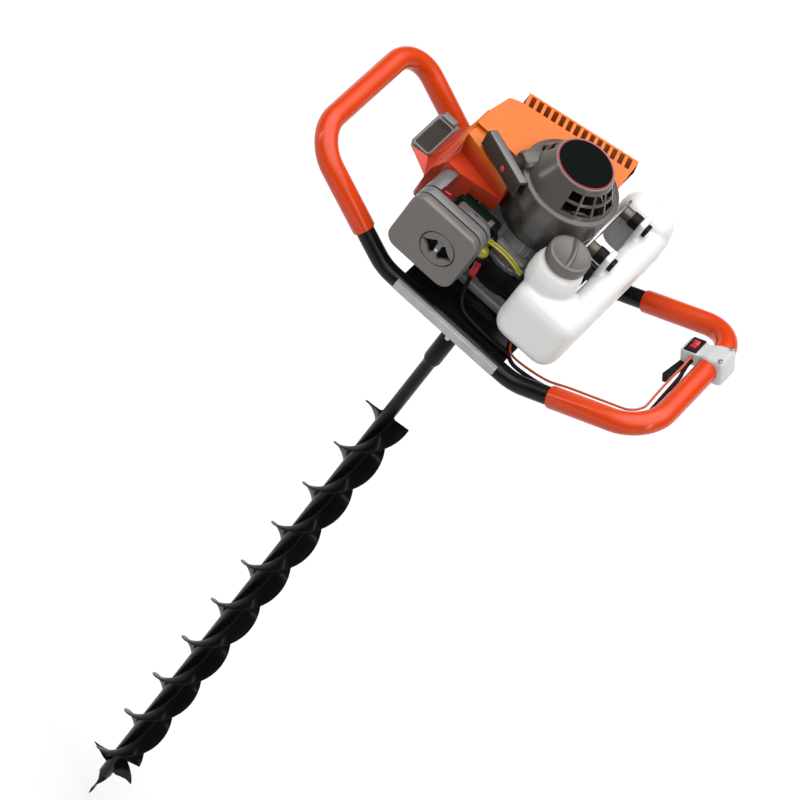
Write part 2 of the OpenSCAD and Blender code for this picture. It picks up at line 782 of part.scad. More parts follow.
module carburettor() {
    color("#8a8c8e") lift(crank_z) difference() {
        union() {
            wall_slab(carb_x, -84, 0, 46, 36, 28, 4);
            translate([carb_x + 22, bulb_y - bulb_r - 2, -4 - bulb_r - 2])
                cube([7, 2 * bulb_r + 4, 2 * bulb_r + 4]);
            translate([carb_x, -70, 17.5]) cylinder(r = 8, h = 3);
            translate([carb_x + 16, anchor_y - 4.5, anchor_z - 4.8]) cube([6, 9, 9]);
            rod_y(port_x, cowl_front, 0, port_r + 1, -84.5 - cowl_front + 1);
            for (z = [-11, 11]) rod_y(carb_x + 14, cowl_front + 3, z, 4, -83.5 - cowl_front - 3);
        }
        rod_x(bulb_x - bulb_press - bulb_gap, bulb_y, -4, bulb_r + run_gap, 20);
        rod_y(port_x, cowl_front - 1, 0, port_bore_r, 40);
        translate([carb_x, -70, 8]) cylinder(r = 2.5 + run_gap, h = 20);
    }
}
module carb_cowl() {
    color("#9b9894") lift(filter_zc) difference() {
        union() {
            wall_slab(filter_x, cowl_front, 0, filter_w, filter_h, 3, filter_r);
            difference() {
                wall_slab(filter_x, cowl_front, 0, filter_w, filter_h, cowl_back - cowl_front, filter_r);
                wall_slab(filter_x, cowl_front - 1, 0, filter_w - 6, filter_h - 6,
                    cowl_back - cowl_front + 2, filter_r - 3);
                translate([filter_x - filter_w / 2 + 18, cowl_front + 6, -filter_h])
                    cube([filter_w, 60, 2 * filter_h]);
                translate([filter_x - filter_w, cowl_front + 6, -filter_h - 26])
                    cube([2 * filter_w, 60, filter_h]);
            }
        }
        rod_y(port_x, cowl_front - 1, crank_z - filter_zc, port_r + 2, 10);
        rod_y(choke_x, cowl_front - 1, choke_z, 3 + run_gap, 5);
        translate([choke_x - 15, cowl_front - 1, choke_z + 8]) cube([40, 9, 30]);
    }
}
module filter_base() {
    color("#a19e9a") lift(filter_zc) difference() {
        union() {
            wall_slab(filter_x, base_front, 0, filter_w, filter_h, filter_t, filter_r);
            wall_slab(filter_x, base_back - 0.5, 0, filter_w - 2 * seam_in, filter_h - 2 * seam_in,
                seam_w + 0.5, filter_r - seam_in);
        }
        wall_slab(filter_x, base_front - 1, 0, filter_w - 8, filter_h - 8, filter_t - 2, filter_r - 4);
        rod_y(port_x, base_front, crank_z - filter_zc, port_bore_r + 1, 40);
        rod_y(knob_x, base_front, -1, 3, 40);
    }
}
module filter_element() {
    color("#2a2a28") lift(filter_zc) difference() {
        wall_slab(filter_x, base_front + 1, 0, filter_w - 8.6, filter_h - 8.6, filter_t - 4.05,
            filter_r - 4.3);
        rod_y(knob_x, base_front - 1, -1, 6, 40);
    }
}

// fan housing and starter
module fan_housing() {
    color("#8a8682") lift(fan_z) difference() {
        cylinder(r = fan_house_r, h = fan_house_h);
        translate([0, 0, 4]) cylinder(r = fly_r + 3, h = fan_house_h);
        translate([0, 0, -1]) cylinder(r = crank_d / 2 + 4, h = 8);
        translate([-fan_house_r - 10, -24, 8]) cube([30, 48, fan_house_h - 14]);
    }
}
module cone_at(z0, r0, z1, r1) {
    translate([0, 0, z0]) cylinder(r1 = r0, r2 = r1, h = z1 - z0);
}
module rope_bore(r, l) {
    translate([0, 0, rope_z - starter_z]) rotate([0, 0, rope_az]) translate([0, -rope_r, 0])
        rotate([0, 90, 0]) cylinder(r = r, h = l);
}
module starter_housing() {
    slope = (starter_r - starter_rim - starter_top_r) / starter_cone_h;
    color("#8d8a86") lift(starter_z) difference() {
        union() {
            cylinder(r = starter_r, h = starter_side_h);
            translate([0, 0, starter_side_h - starter_rim_h])
                cylinder(r = starter_r + starter_rim, h = starter_rim_h);
            cone_at(starter_side_h - 0.01, starter_r - starter_rim, starter_side_h + starter_cone_h,
                starter_top_r);
            rope_bore(boss_r, boss_reach);
            translate([0, 0, starter_side_h + starter_cone_h - 0.5]) cylinder(r = starter_top_r, h = 2.5);
        }
        difference() {
            union() {
                translate([0, 0, -1]) cylinder(r = starter_r - house_wall, h = starter_side_h + 1);
                cone_at(starter_side_h - 0.02, starter_r - starter_rim - house_wall,
                    starter_side_h + starter_cone_h - house_wall, starter_top_r - house_wall);
            }
            translate([0, 0, rope_z - starter_z - 9]) cylinder(r = 5.95, h = 60);
        }
        rope_bore(rope_d / 2 + 1, boss_reach + 1);
        for (i = [0 : grille_n - 1], row = [0, 1]) {
            up = grille_low + row * (grille_h + grille_bar);
            mid_r = starter_r - starter_rim - slope * (up + grille_h / 2);
            w = 2 * PI * mid_r / grille_n - grille_bar;
            a = rope_az + 180 + (i - grille_n / 2 + 0.5) * 360 / grille_n;
            if (abs(i - grille_n / 2 + 0.5) < grille_n / 2 - 1.6) {
                rotate([0, 0, a]) translate([mid_r - 18, -w / 2, starter_side_h + up]) cube([40, w, grille_h]);
            }
        }
    }
}
module starter_badge() {
    color("#1b1d1c") lift(badge_z) {
        cylinder(r = badge_r - 2, h = badge_t);
        ring(badge_r, badge_r - 3, badge_t - 0.6);
    }
}

// covers
module shroud() {
    top = shroud_low + shroud_t;
    color("#f07a2a") lift(0) difference() {
        union() {
            translate([0, 0, shroud_low]) linear_extrude(height = shroud_t) polygon(plate);
            translate([0, 0, shroud_low - lip_h]) linear_extrude(height = lip_h + 1) polygon(lip);
            translate([-front_end, 0, 0]) rotate([0, -90, 0])
                linear_extrude(height = shroud_wall - front_end)
                polygon([[shroud_low + 0.5, -shroud_step], [top, -shroud_step], [top - 6, -2 * shroud_step],
                    [top - 24, -shroud_front], [shroud_foot, -shroud_front],
                    [shroud_foot, -shroud_front + shroud_t], [top - 26, -shroud_front + shroud_t],
                    [top - 9, -2 * shroud_step + shroud_t]]);
            translate([-shroud_wall, -shroud_front, shroud_foot])
                cube([shroud_t, shroud_front + shroud_side, shroud_shoulder - shroud_foot]);
            translate([0, shroud_side, 0]) rotate([90, 0, 0])
                linear_extrude(height = shroud_side + shroud_front)
                polygon([[-shroud_wall, shroud_shoulder - 1], [-shroud_wall + shroud_t,
                    shroud_shoulder - 2],
                    [-shroud_left + 5, top - 1], [-shroud_left, top - 1]]);
            translate([0, shroud_side, 0]) rotate([90, 0, 0])
                linear_extrude(height = shroud_side + shroud_front)
                polygon([[-shroud_wall, shroud_shoulder - 1], [-shroud_wall - shroud_flare, plug_top],
                    [-shroud_wall - shroud_flare + shroud_t, plug_top],
                    [-shroud_wall + shroud_t, shroud_shoulder - 2]]);
            for (x = post_x) translate([x, post_y, crank_z + fin_w / 2])
                cylinder(r = post_r, h = shroud_low + 1 - crank_z - fin_w / 2);
            translate([0, -shroud_front + shroud_step, 0]) rotate([90, 0, 0])
                linear_extrude(height = shroud_step)
                polygon([[-shroud_wall + 2, shroud_foot + 20], [-shroud_wall + 2, shroud_shoulder],
                    [-shroud_wall - 18, shroud_shoulder - 20], [-shroud_wall - 36, shroud_shoulder - 26],
                    [-shroud_wall - 36, shroud_shoulder - 31]]);
        }
        translate([0, 0, shroud_foot]) cylinder(r = starter_r + starter_rim + shroud_gap, h = 2 * shroud_left);
        rod_x(-shroud_wall - 8, 0, crank_z, 14, 20);
        translate([carb_x - 33, -shroud_front - 2, shroud_foot - 2]) cube([46, 8,
            crank_z - shroud_foot + 26]);
        for (i = [0 : slot_n - 1]) {
            translate([i * slot_pitch - 0.832 * shroud_left, 0, 0]) rotate([0, 0, slot_turn])
                translate([0, shroud_back - 27, shroud_low - 1]) cube([slot_w, slot_l, shroud_t + 2]);
        }
    }
}
// hood over the plug, drawn in by d, narrower below than at its lid
module plug_hood(d) {
    far = -shroud_wall - plug_cover_l;
    hull() {
        translate([far + d, d - plug_cover_half, plug_lid - plug_lid_t]) cube([plug_cover_l - face_gap,
            2 * (plug_cover_half - d), plug_lid_t - d]);
        translate([far + plug_taper + d, d + plug_taper / 2 - plug_cover_half, plug_lid - plug_deep])
            cube([plug_cover_l - plug_taper - face_gap, 2 * (plug_cover_half - d) - plug_taper, 1]);
    }
}
module plug_cover() {
    far = -shroud_wall - plug_cover_l;
    color("#8c8884") lift(crank_z) intersection() {
        difference() {
            union() {
                plug_hood(0);
                translate([far + 4, -plug_cover_half + 4, plug_lid - 1])
                    cube([plug_cover_l - shroud_flare - 4 - shroud_t, 2 * plug_cover_half - 8, shroud_t]);
            }
            translate([0, 0, -face_gap]) plug_hood(shroud_t);
        }
        translate([far - 1, -shroud_left, -crank_z]) cube([plug_cover_l + 1 - face_gap, 2 * shroud_left,
            2 * crank_z]);
    }
}

// fuel
module blob(x0, x1, y0, y1, z0, z1, r) {
    hull() for (x = [x0 + r, x1 - r], y = [y0 + r, y1 - r], z = [z0 + r, z1 - r])
        translate([x, y, z]) sphere(r = r, $fn = 16);
}
// front lobe, side bridge and back lobe of the tank, drawn in by d
module tank_form(d) {
    blob(tank_in + d, tank_out - d, -tank_front + d, -tank_split - d, tank_low + d, tank_top - d,
        tank_r - d);
    blob(bridge_in + d, tank_out - d, -tank_front + 10 + d, tank_back - 8 - d, tank_low + 14 + d,
        tank_top - 2 - d, bridge_r - d);
    blob(lobe_in + d, tank_out - 3 - d, lobe_front + d, tank_back - d, lobe_low + d, lobe_top - d,
        tank_r - 0.5 - d);
}
module fuel_tank() {
    color("#e9e9e6") lift(0) difference() {
        union() {
            tank_form(0);
            translate([filler_x, filler_y, shoulder_z])
                cylinder(r = cap_r + 4, h = neck_top - shoulder_z - cap_h + 2);
            translate([filler_x, filler_y, shoulder_z - 8])
                cylinder(r1 = cap_r - 8, r2 = cap_r + 3.2, h = 10);
            translate([filler_x, filler_y, line_z]) cylinder(r = neck_r, h = neck_top - line_z);
            for (y = mount_y) translate([lug_x, y - lug_w / 2, mount_z - 30]) cube([lug_t, lug_w, 42]);
        }
        tank_form(tank_wall);
        translate([filler_x, filler_y, line_z]) cylinder(d = neck_bore, h = neck_top);
        rod_x(tank_in - 5, line_y, line_z, grommet_r + face_gap, 14);
        for (y = mount_y) rod_x(lug_x - 3, y, mount_z, stud_r + stud_gap, lug_t + 8);
    }
}
module tank_bracket() {
    color("#c9cbcc") lift(0) difference() {
        union() {
            translate([bracket_x, -14, mount_z - 10]) cube([bracket_t, lobe_front + 12, 20]);
            translate([fan_house_r - 5, -14, mount_z - 8]) cube([6, 34, 16]);
        }
        translate([0, 0, mount_z - 30]) cylinder(r = fan_house_r + face_gap, h = 100);
        for (y = mount_y) rod_x(bracket_x - 6, y, mount_z, stud_r + stud_gap, 16);
    }
}
module tank_mounts() {
    back = bracket_x + bracket_t;
    color("#161616") lift(0) for (y = mount_y) {
        rod_x(back, y, mount_z, bush_r, lug_x - back);
        rod_x(back - 0.5, y, mount_z, stud_r, lug_x + lug_t + 5 - back + 0.5);
        translate([lug_x + lug_t, y - 2 * stud_r, mount_z - 2 * stud_r]) cube([5, 4 * stud_r, 4 * stud_r]);
    }
}
module tank_grommet() {
    color("#0e0e0e") lift(0) {
        rod_x(tank_in - 6, line_y, line_z, grommet_r, 14);
        rod_x(tank_in - 6, line_y, line_z, grommet_r + 2, 5);
    }
}
module fuel_lines() {
    far = tank_in - 5;
    near = carb_x + 20;
    span = far - near;
    color("#c9d23a") for (k = [-1, 1]) {
        cord([for (p = [[0, 0, 3], [0.12, 0, 4.5], [0.25, 0, 6], [0.41, -0.5, 7.5], [0.6, -1, 7.5],
            [0.78, -1, 5],
            [0.9, -0.5, 1.5], [1, 0, 0]])
            [near + p[0] * span, line_y + p[1] + k * (line_d / 2 + 0.2),
                base_z + line_z + p[2] - k * 0.4]], line_d);
    }
}

// hand controls on the right loop
module switch_housing() {
    color("#dcdddd") lift(0) loop_frame(0) translate([arm_l, switch_y, 0]) difference() {
        union() {
            translate([-14, -switch_l / 2, -switch_half_h])
                cube([14 + grip_r + 4, switch_l, 2 * switch_half_h]);
            translate([-switch_in, -switch_l / 2, -2]) cube([switch_in, switch_l, switch_half_h]);
            translate([-switch_in + 9, switch_l / 2 - 8, -14]) cylinder(d = trigger_pin_d, h = 14);
        }
        rotate([-90, 0, 0]) translate([0, 0, -switch_l]) cylinder(r = grip_r + clamp_gap, h = 2 * switch_l);
        translate([-switch_in + 5, -11, switch_half_h - 14]) cube([13, 22, 20]);
        for (j = [-1, 1]) {
            translate([grip_r + 2.1, j * (switch_l / 2 - 6), -switch_half_h - 1])
                cylinder(r = 1.55, h = 2 * switch_half_h + 2);
        }
        translate([-lead_x, -switch_l / 2 - 1, cable_up]) rotate([-90, 0, 0]) cylinder(d = cable_d + 0.4,
            h = 12);
        translate([-lead_x, -switch_l / 2 - 1, lead_up]) rotate([-90, 0, 0]) cylinder(d = lead_d + 0.4,
            h = 12);
    }
}
module housing_screws() {
    color("#77797b") lift(0) loop_frame(0) translate([arm_l, switch_y, 0]) for (j = [-1, 1]) {
        translate([grip_r + 2.1, j * (switch_l / 2 - 6), -switch_half_h + 4])
            cylinder(r = 1.5, h = 2 * switch_half_h - 4);
        translate([grip_r + 2.1, j * (switch_l / 2 - 6), switch_half_h]) cylinder(r = 2.8, h = 2);
    }
}
module switch_bezel() {
    color("#121212") lift(0) loop_frame(0) translate([arm_l - switch_in + 11.5, switch_y, 0]) difference() {
        union() {
            translate([-6.45, -10.95, switch_half_h - 13.9]) cube([12.9, 21.9, 12]);
            translate([-8, -13, switch_half_h - 2]) cube([16, 26, 2]);
        }
        translate([-4.5, -8.5, switch_half_h - 12]) cube([9, 17, 20]);
        rod_x(-6, 0, switch_half_h - 6, 1.5 + run_gap, 12);
    }
}
module kill_rocker() {
    color("#d8404a") lift(0) loop_frame(0) translate([arm_l - switch_in + 11.5, switch_y,
        switch_half_h - 6]) {
        difference() {
            translate([-4, -7, 2]) cube([8, 14, 5.5]);
            translate([-5, 0, 11.5]) rotate([0, 90, 0]) cylinder(r = 6, h = 10);
        }
        rod_x(-4, 0, 0, 3, 8);
        rod_x(-5.8, 0, 0, 1.5, 11.6);
    }
}
module throttle_trigger() {
    px = arm_l - switch_in + 9;
    py = switch_y + switch_l / 2 - 8;
    color("#101010") lift(0) loop_frame(0) translate([px, py, -12.5]) difference() {
        union() {
            cylinder(r = 6.5, h = 9);
            rotate([0, 0, -8]) translate([-7, -trigger_l, 0]) cube([7, trigger_l, 9]);
            rotate([0, 0, -8]) translate([-3.5, -trigger_l, 0]) cylinder(r = 3.5, h = 9);
        }
        translate([0, 0, -1]) cylinder(r = trigger_pin_d / 2 + trigger_gap, h = 12);
    }
}
// routes: along the inner side of the bar, round the corner, down the near arm, then over the deck
function bar_pt(x, y, z) = loop_pt([arm_l + x, y, z]);
function arm_pt(share, near, z) = loop_pt([share * arm_l, near - frame_half_d, z]);
function corner_pts(near, z) = [for (a = [0 : 18 : 90]) bar_pt((corner_r - near) * cos(a) - corner_r,
    corner_r - frame_half_d - (corner_r - near) * sin(a), z)];
module throttle_cable() {
    e = switch_y - switch_l / 2;
    over = base_z + deck_top + cable_d / 2 + route_gap;
    up = base_z + crank_z;
    rise_x = carb_x + 35;
    color("#141414") cord(concat([bar_pt(-lead_x, e + 6, cable_up), bar_pt(-lead_x, e - 4, cable_up),
        bar_pt(-cable_near - 1, e - 16, cable_up / 2), bar_pt(-cable_near, 0, 0),
        bar_pt(-cable_near, (corner_r - frame_half_d) / 2, cable_dip / 2)],
        corner_pts(cable_near, cable_dip), [arm_pt(0.5, cable_near, cable_dip), arm_pt(0.34, cable_near,
            cable_dip),
        arm_pt(0.17, cable_near - 1, cable_dip),
        [arm_foot - 10, 17 - frame_half_d, base_z + cable_up], [deck_half_l - 5, 16 - frame_half_d, over],
        [0.6 * deck_half_l, 15 - frame_half_d, over], [0.27 * deck_half_l, 16 - frame_half_d, over],
        [0, 20 - frame_half_d, over + 2], [rise_x + 10, anchor_y - 21, up - 66], [rise_x + 3,
            anchor_y - 9, up - 45],
        [rise_x, anchor_y - 1, up - 24], [rise_x, anchor_y, up - 4], [rise_x - 1, anchor_y, up + 10],
        [rise_x - 5, anchor_y, up + anchor_z - 3], [rise_x - 10, anchor_y, up + anchor_z],
        [carb_x + 19, anchor_y, up + anchor_z]]), cable_d);
}
module switch_leads() {
    e = switch_y - switch_l / 2;
    over = base_z + deck_top + lead_d / 2 + route_gap;
    low = base_z + tank_low;
    color("#c0564e") cord(concat([bar_pt(-lead_x, e + 6, lead_up), bar_pt(-lead_x, e - 5, lead_up),
        bar_pt(-lead_x - 0.5, e - 16, lead_up - 2), bar_pt(-lead_near + 1, 0, lead_up - 5),
        bar_pt(-lead_near, (corner_r - frame_half_d) / 2, 3)],
        corner_pts(lead_near, 1), [arm_pt(0.5, lead_near, 1), arm_pt(0.34, lead_near, 1), arm_pt(0.17,
            lead_near - 1, 1),
        [arm_foot - 10, 23 - frame_half_d, base_z + 2 * cable_up], [deck_half_l - 3, 23 - frame_half_d,
            over],
        [tank_in + 31, -tank_split - 24, over], [tank_in + 27, -tank_split - 14, over + 1],
        [tank_in + 23, -tank_split - 6, low - 2], [tank_in + 17, -tank_split + 4, low + 18],
        [tank_in + 13, -tank_split + 10, low + 48], [tank_in + 9, -tank_split + 11, low + 78],
        [tank_in + 3, -tank_split + 12, base_z + fan_z - 6], [tank_in - 1, -tank_split + 13,
            base_z + fan_z + 2]]),
        lead_d, 8);
}

// auger
module output_shaft() {
    color("#b0b2b4") {
        difference() {
            lift(-nose_drop - socket_gap - socket_bore + 2)
                cylinder(d = out_d, h = nose_drop + socket_gap + socket_bore - 2 + wheel2_z + wheel2_t + 1);
            translate([0, 30, auger_l - cross_pin_drop]) rotate([90, 0, 0])
                cylinder(d = cross_pin_d + 0.1, h = 60);
        }
        lift(wheel2_z) rotate([0, 0, 90]) gear(wheel_n, wheel2_t);
    }
}
module auger_stem() {
    color("#0f0f10") difference() {
        union() {
            translate([0, 0, pilot_h - 6]) cylinder(d = stem_d, h = auger_l - socket_h - pilot_h + 6);
            translate([0, 0, auger_l - socket_h - 8]) cylinder(d1 = stem_d, d2 = socket_d, h = 8);
            translate([0, 0, auger_l - socket_h]) cylinder(d = socket_d, h = socket_h);
        }
        translate([0, 0, auger_l - socket_bore]) cylinder(d = out_d + 0.1, h = socket_bore + 1);
        translate([0, 0, auger_l - cross_pin_drop]) rotate([90, 0, 0])
            translate([0, 0, -30]) cylinder(d = cross_pin_d + 0.1, h = 60);
    }
}
module auger_flight() {
    turns = (flight_top - flight_low) / flight_pitch;
    n = ceil(turns * 32);
    ri = stem_d / 2 - weld_in;
    ro = flight_d / 2;
    pts = [for (i = [0 : n]) each let (a = flight_turn + 360 * turns * i / n,
        z = flight_low + (flight_top - flight_low) * i / n, c = [cos(a), sin(a)]) [
        [ri * c[0], ri * c[1], z - flight_t / 2], [ro * c[0], ro * c[1], z - flight_t / 2],
        [ro * c[0], ro * c[1], z + flight_t / 2], [ri * c[0], ri * c[1], z + flight_t / 2]]];
    sides = [for (i = [0 : n - 1], k = [0 : 3]) each let (k1 = (k + 1) % 4) [
        [4 * i + k, 4 * i + k1, 4 * i + 4 + k1], [4 * i + k, 4 * i + 4 + k1, 4 * i + 4 + k]]];
    color("#101011") for (k = [1 : flight_starts]) rotate([0, 0, 360 * k / flight_starts])
        polyhedron(points = pts, faces = concat(sides, [[3, 2, 1, 0]],
            [[4 * n, 4 * n + 1, 4 * n + 2, 4 * n + 3]]), convexity = 12);
}
module cutting_blades() {
    color("#151516") for (k = [0, 1]) rotate([0, 0, blade_turn + 180 * k])
        translate([stem_d / 2 - weld_in, 0, flight_low - blade_drop]) rotate([blade_tilt, 0, 0])
        translate([0, -blade_w / 2, -blade_t / 2]) cube([blade_r - stem_d / 2 + weld_in, blade_w, blade_t]);
}
module pilot_point() {
    n = 24;
    pts = [for (i = [0 : n]) each let (f = i / n, a = 230 * f, w = pilot_w / 2 * (0.08 + 0.92 * f),
        t = 3 * (0.1 + 0.9 * f)) [for (q = [[-1, -1], [1, -1], [1, 1], [-1, 1]])
        [q[0] * w * cos(a) - q[1] * t * sin(a), q[0] * w * sin(a) + q[1] * t * cos(a), pilot_h * f]]];
    sides = [for (i = [0 : n - 1], k = [0 : 3]) each let (k1 = (k + 1) % 4) [
        [4 * i + 4 + k, 4 * i + 4 + k1, 4 * i + k1], [4 * i + 4 + k, 4 * i + k1, 4 * i + k]]];
    color("#131314") polyhedron(points = pts,
        faces = concat(sides, [[0, 1, 2, 3]], [[4 * n + 3, 4 * n + 2, 4 * n + 1, 4 * n]]), convexity = 6);
}
module cross_pin() {
    color("#8d8f91") translate([0, 0, auger_l - cross_pin_drop]) rotate([90, 0, 0])
        translate([0, 0, -socket_d / 2 - cross_pin_out])
        cylinder(d = cross_pin_d, h = socket_d + 2 * cross_pin_out);
}

// inside the gearbox and engine
module cluster_gear() {
    color("#a0a2a4") lift(0) translate([0, gear_off, 0]) {
        translate([0, 0, -case_drop - 3]) cylinder(r = idle_r, h = case_drop + deck_top + 8);
        translate([0, 0, wheel2_z - 1]) rotate([0, 0, -90 + 180 / pinion_n]) gear(pinion_n, wheel2_t + 2);
        translate([0, 0, wheel1_z]) rotate([0, 0, -90]) gear(wheel_n, wheel1_t);
    }
}
module clutch_drum() {
    color("#8f9193") lift(0) {
        translate([0, 0, wheel1_z - 1]) rotate([0, 0, 90 + 180 / pinion_n]) gear(pinion_n, wheel1_t + 2);
        translate([0, 0, wheel1_z - 1]) cylinder(r = in_r, h = clutch_z + 4 - wheel1_z + 3);
        translate([0, 0, clutch_z + 4]) difference() {
            cylinder(r = drum_r, h = clutch_h - 13);
            translate([0, 0, 3]) cylinder(r = drum_r - drum_wall, h = clutch_h);
        }
    }
}
module crankshaft() {
    color("#b8babc") lift(0) {
        translate([0, 0, crank_z - web_gap / 2 - web_t]) cylinder(r = web_r, h = web_t);
        translate([0, 0, crank_z + web_gap / 2]) cylinder(r = web_r, h = web_t);
        translate([0, 0, clutch_z + 10]) cylinder(d = crank_d,
            h = crank_z - web_gap / 2 - web_t - clutch_z - 9);
        translate([0, 0, crank_z + web_gap / 2 + web_t - 1])
            cylinder(d = crank_d, h = fan_z + 31 - crank_z - web_gap / 2 - web_t);
    }
}
module flywheel() {
    color("#9c9ea0") lift(fan_z + 6) difference() {
        union() {
            cylinder(r = fly_r, h = 6);
            cylinder(r = 20, h = 27);
            for (i = [0 : fan_n - 1]) {
                rotate([0, 0, 360 * i / fan_n]) translate([22, -1.2, 5]) rotate([0, 0, 12])
                    cube([fly_r - 24, 2.4, 16]);
            }
        }
        translate([0, 0, -1]) cylinder(d = crank_d, h = 25);
        translate([0, 0, 24]) cylinder(r = 16, h = 10);
    }
}
module clutch_shoes() {
    color("#77706a") lift(clutch_z + 10) difference() {
        union() {
            difference() {
                cylinder(r = drum_r - drum_wall - shoe_gap, h = 14);
                translate([0, 0, -1]) cylinder(r = 22, h = 16);
                translate([-50, -2, -1]) cube([100, 4, 16]);
            }
            cylinder(r = 13, h = 14);
            translate([-5, -24, 2]) cube([10, 48, 10]);
        }
        translate([0, 0, -1]) cylinder(d = crank_d, h = 16);
    }
}
module piston() {
    color("#c6c8ca") lift(crank_z) difference() {
        rod_x(pin_rest - piston_top, 0, 0, bore_r - piston_gap, piston_top + piston_skirt);
        rod_x(pin_rest - piston_top + 6, 0, 0, bore_r - 5, 60);
        rod_y(pin_rest, -40, 0, 5, 80);
    }
}
module wrist_pin() {
    color("#d0d2d4") lift(crank_z) rod_y(pin_rest, -bore_r + 3, 0, 4.98, 2 * bore_r - 6);
}
module connecting_rod() {
    color("#a4a6a8") lift(crank_z) difference() {
        union() {
            translate([throw_r, 0, -5]) cylinder(r = 12, h = 10);
            rod_y(pin_rest, -6, 0, 9, 12);
            translate([pin_rest + 4, -4, -4]) cube([rod_l - 10, 8, 8]);
            translate([throw_r, 0, -web_gap / 2 + 0.4]) cylinder(r = 7, h = web_gap - 0.8);
        }
        rod_y(pin_rest, -20, 0, 5, 40);
    }
}

// pull starter
module rope_frame() {
    lift(rope_z) rotate([0, 0, rope_az]) translate([0, -rope_r, 0]) children();
}
module starter_handle() {
    bar_at = pull_at + pull_stem;
    color("#4a443f") rope_frame() rotate([pull_tilt, 0, 0]) difference() {
        union() {
            translate([pull_at, 0, 0]) rotate([0, 90, 0])
                cylinder(r1 = pull_stem_r - 1, r2 = pull_stem_r, h = pull_stem + 1);
            translate([bar_at + pull_d / 2, 0, -pull_h / 2]) slab(pull_d, pull_l, pull_h, 3);
        }
        translate([pull_at - 1, 0, 0]) rotate([0, 90, 0]) cylinder(d = rope_d + 0.2, h = pull_stem + 6);
        for (s = [-1, 1]) {
            translate([bar_at + bar_wall, s * pull_l / 2 - bar_hollow, bar_wall - pull_h / 2])
                cube([pull_d - 2 * bar_wall, 2 * bar_hollow, pull_h - 2 * bar_wall]);
        }
    }
}
module starter_rope() {
    color("#d8d6cf") rope_frame() translate([2, 0, 0]) rotate([0, 90, 0])
        cylinder(d = rope_d, h = pull_at + pull_stem - 2);
}
module starter_pulley() {
    color("#2c2c2c") lift(rope_z - 6) difference() {
        cylinder(r = rope_r + 5, h = 12);
        translate([0, 0, -1]) cylinder(r = 6, h = 14);
        translate([0, 0, 3]) ring(rope_r + 8, rope_r - rope_d / 2 - 0.4, 6);
    }
}

// small moving pieces
module throttle_arm() {
    color("#3a3a3a") lift(crank_z) translate([carb_x, -70, 0]) {
        translate([0, 0, 10]) cylinder(r = 2.5, h = 14);
        translate([0, 0, 21]) cylinder(r = 5, h = 3);
        translate([0, -3, 21]) cube([16, 6, 3]);
    }
}
module choke_lever() {
    color("#d03a34") lift(filter_zc) translate([choke_x, cowl_front + 3.4, choke_z]) {
        rod_y(0, 0, 0, 6, 3);
        rod_y(0, -3.2, 0, 3, 4);
        rotate([0, -14, 0]) translate([-4.2, 0.2, 0]) cube([8.4, 2.6, 30]);
    }
}
module primer_bulb() {
    color("#c3cc3c") lift(crank_z) {
        rod_x(bulb_x + 2, bulb_y, -4, bulb_r, 6);
        translate([bulb_x + 8, bulb_y, -4]) sphere(r = bulb_r - 1);
    }
}
module cap_gasket() {
    color("#1a1a1a") lift(neck_top + 0.02) translate([filler_x, filler_y, 0])
        ring(neck_r, neck_bore / 2 + 0.5, 1.5);
}
module fuel_cap() {
    color("#6f6a66") lift(neck_top + 1.54 + 3 - cap_h) translate([filler_x, filler_y, 0]) difference() {
        union() {
            cylinder(r = cap_r, h = cap_h);
            rotate([0, 0, 35]) translate([-cap_r + 3, -4, cap_h - 1]) cube([2 * cap_r - 6, 8, 5]);
        }
        translate([0, 0, -1]) cylinder(r = neck_r + cap_gap, h = cap_h - 2);
    }
}
module filter_cover() {
    color("#77736e") lift(filter_zc) difference() {
        union() {
            wall_slab(filter_x, -filter_front, 0, filter_w, filter_h, filter_t, filter_r);
            wall_slab(filter_x, cover_back - 0.5, 0, filter_w - 2 * seam_in, filter_h - 2 * seam_in,
                seam_w + 0.48, filter_r - seam_in);
        }
        rod_y(knob_x, -filter_front - 1, -1, dish_r, dish_t + 1);
        rod_y(knob_x, -filter_front, -1, 4 + run_gap, 40);
        wall_slab(filter_x, -filter_front + dish_t + 3, 0, filter_w - 14, filter_h - 14, 20, filter_r - 6);
    }
}
module filter_knob() {
    color("#8f8c88") lift(filter_zc) translate([knob_x, -filter_front, -1]) {
        rod_y(0, 0.6, 0, 9, dish_t - 1);
        rotate([0, 35, 0]) translate([-dish_r + 2, 0.6, -knob_w / 2]) cube([2 * dish_r - 4, dish_t - 1,
            knob_w]);
        rod_y(0, 0.6, 0, 4, filter_t + seam_w + 2);
    }
}

frame_tube();
deck_plate();
mount_rails();
left_grip();
right_grip();
lower_gear_case();
upper_gear_case();
case_bolts();
bearings();
clutch_housing();
crankcase();
cylinder_block();
spark_plug();
muffler();
insulator();
carburettor();
carb_cowl();
filter_base();
filter_element();
fan_housing();
starter_housing();
starter_badge();
shroud();
plug_cover();
fuel_tank();
tank_bracket();
tank_mounts();
tank_grommet();
fuel_lines();
switch_housing();
switch_bezel();
housing_screws();
throttle_cable();
switch_leads();
output_shaft();
auger_stem();
auger_flight();
cutting_blades();
pilot_point();
cross_pin();
cluster_gear();
clutch_drum();
crankshaft();
flywheel();
clutch_shoes();
piston();
connecting_rod();
wrist_pin();
starter_handle();
starter_rope();
starter_pulley();
throttle_trigger();
throttle_arm();
kill_rocker();
choke_lever();
primer_bulb();
cap_gasket();
fuel_cap();
filter_cover();
filter_knob();
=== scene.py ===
"""Dresses the petrol earth auger: finishes for every solid, and modelled skins for the shapes that show.

Shapes are drawn in millimetres. Heights count up from the centre-line of the frame's base tubes,
and those of the bit from the pilot tip. piece() turns them into metres in the part's own frame.
"""
import json
import math

import bmesh
import bpy
from mathutils import Matrix, Vector


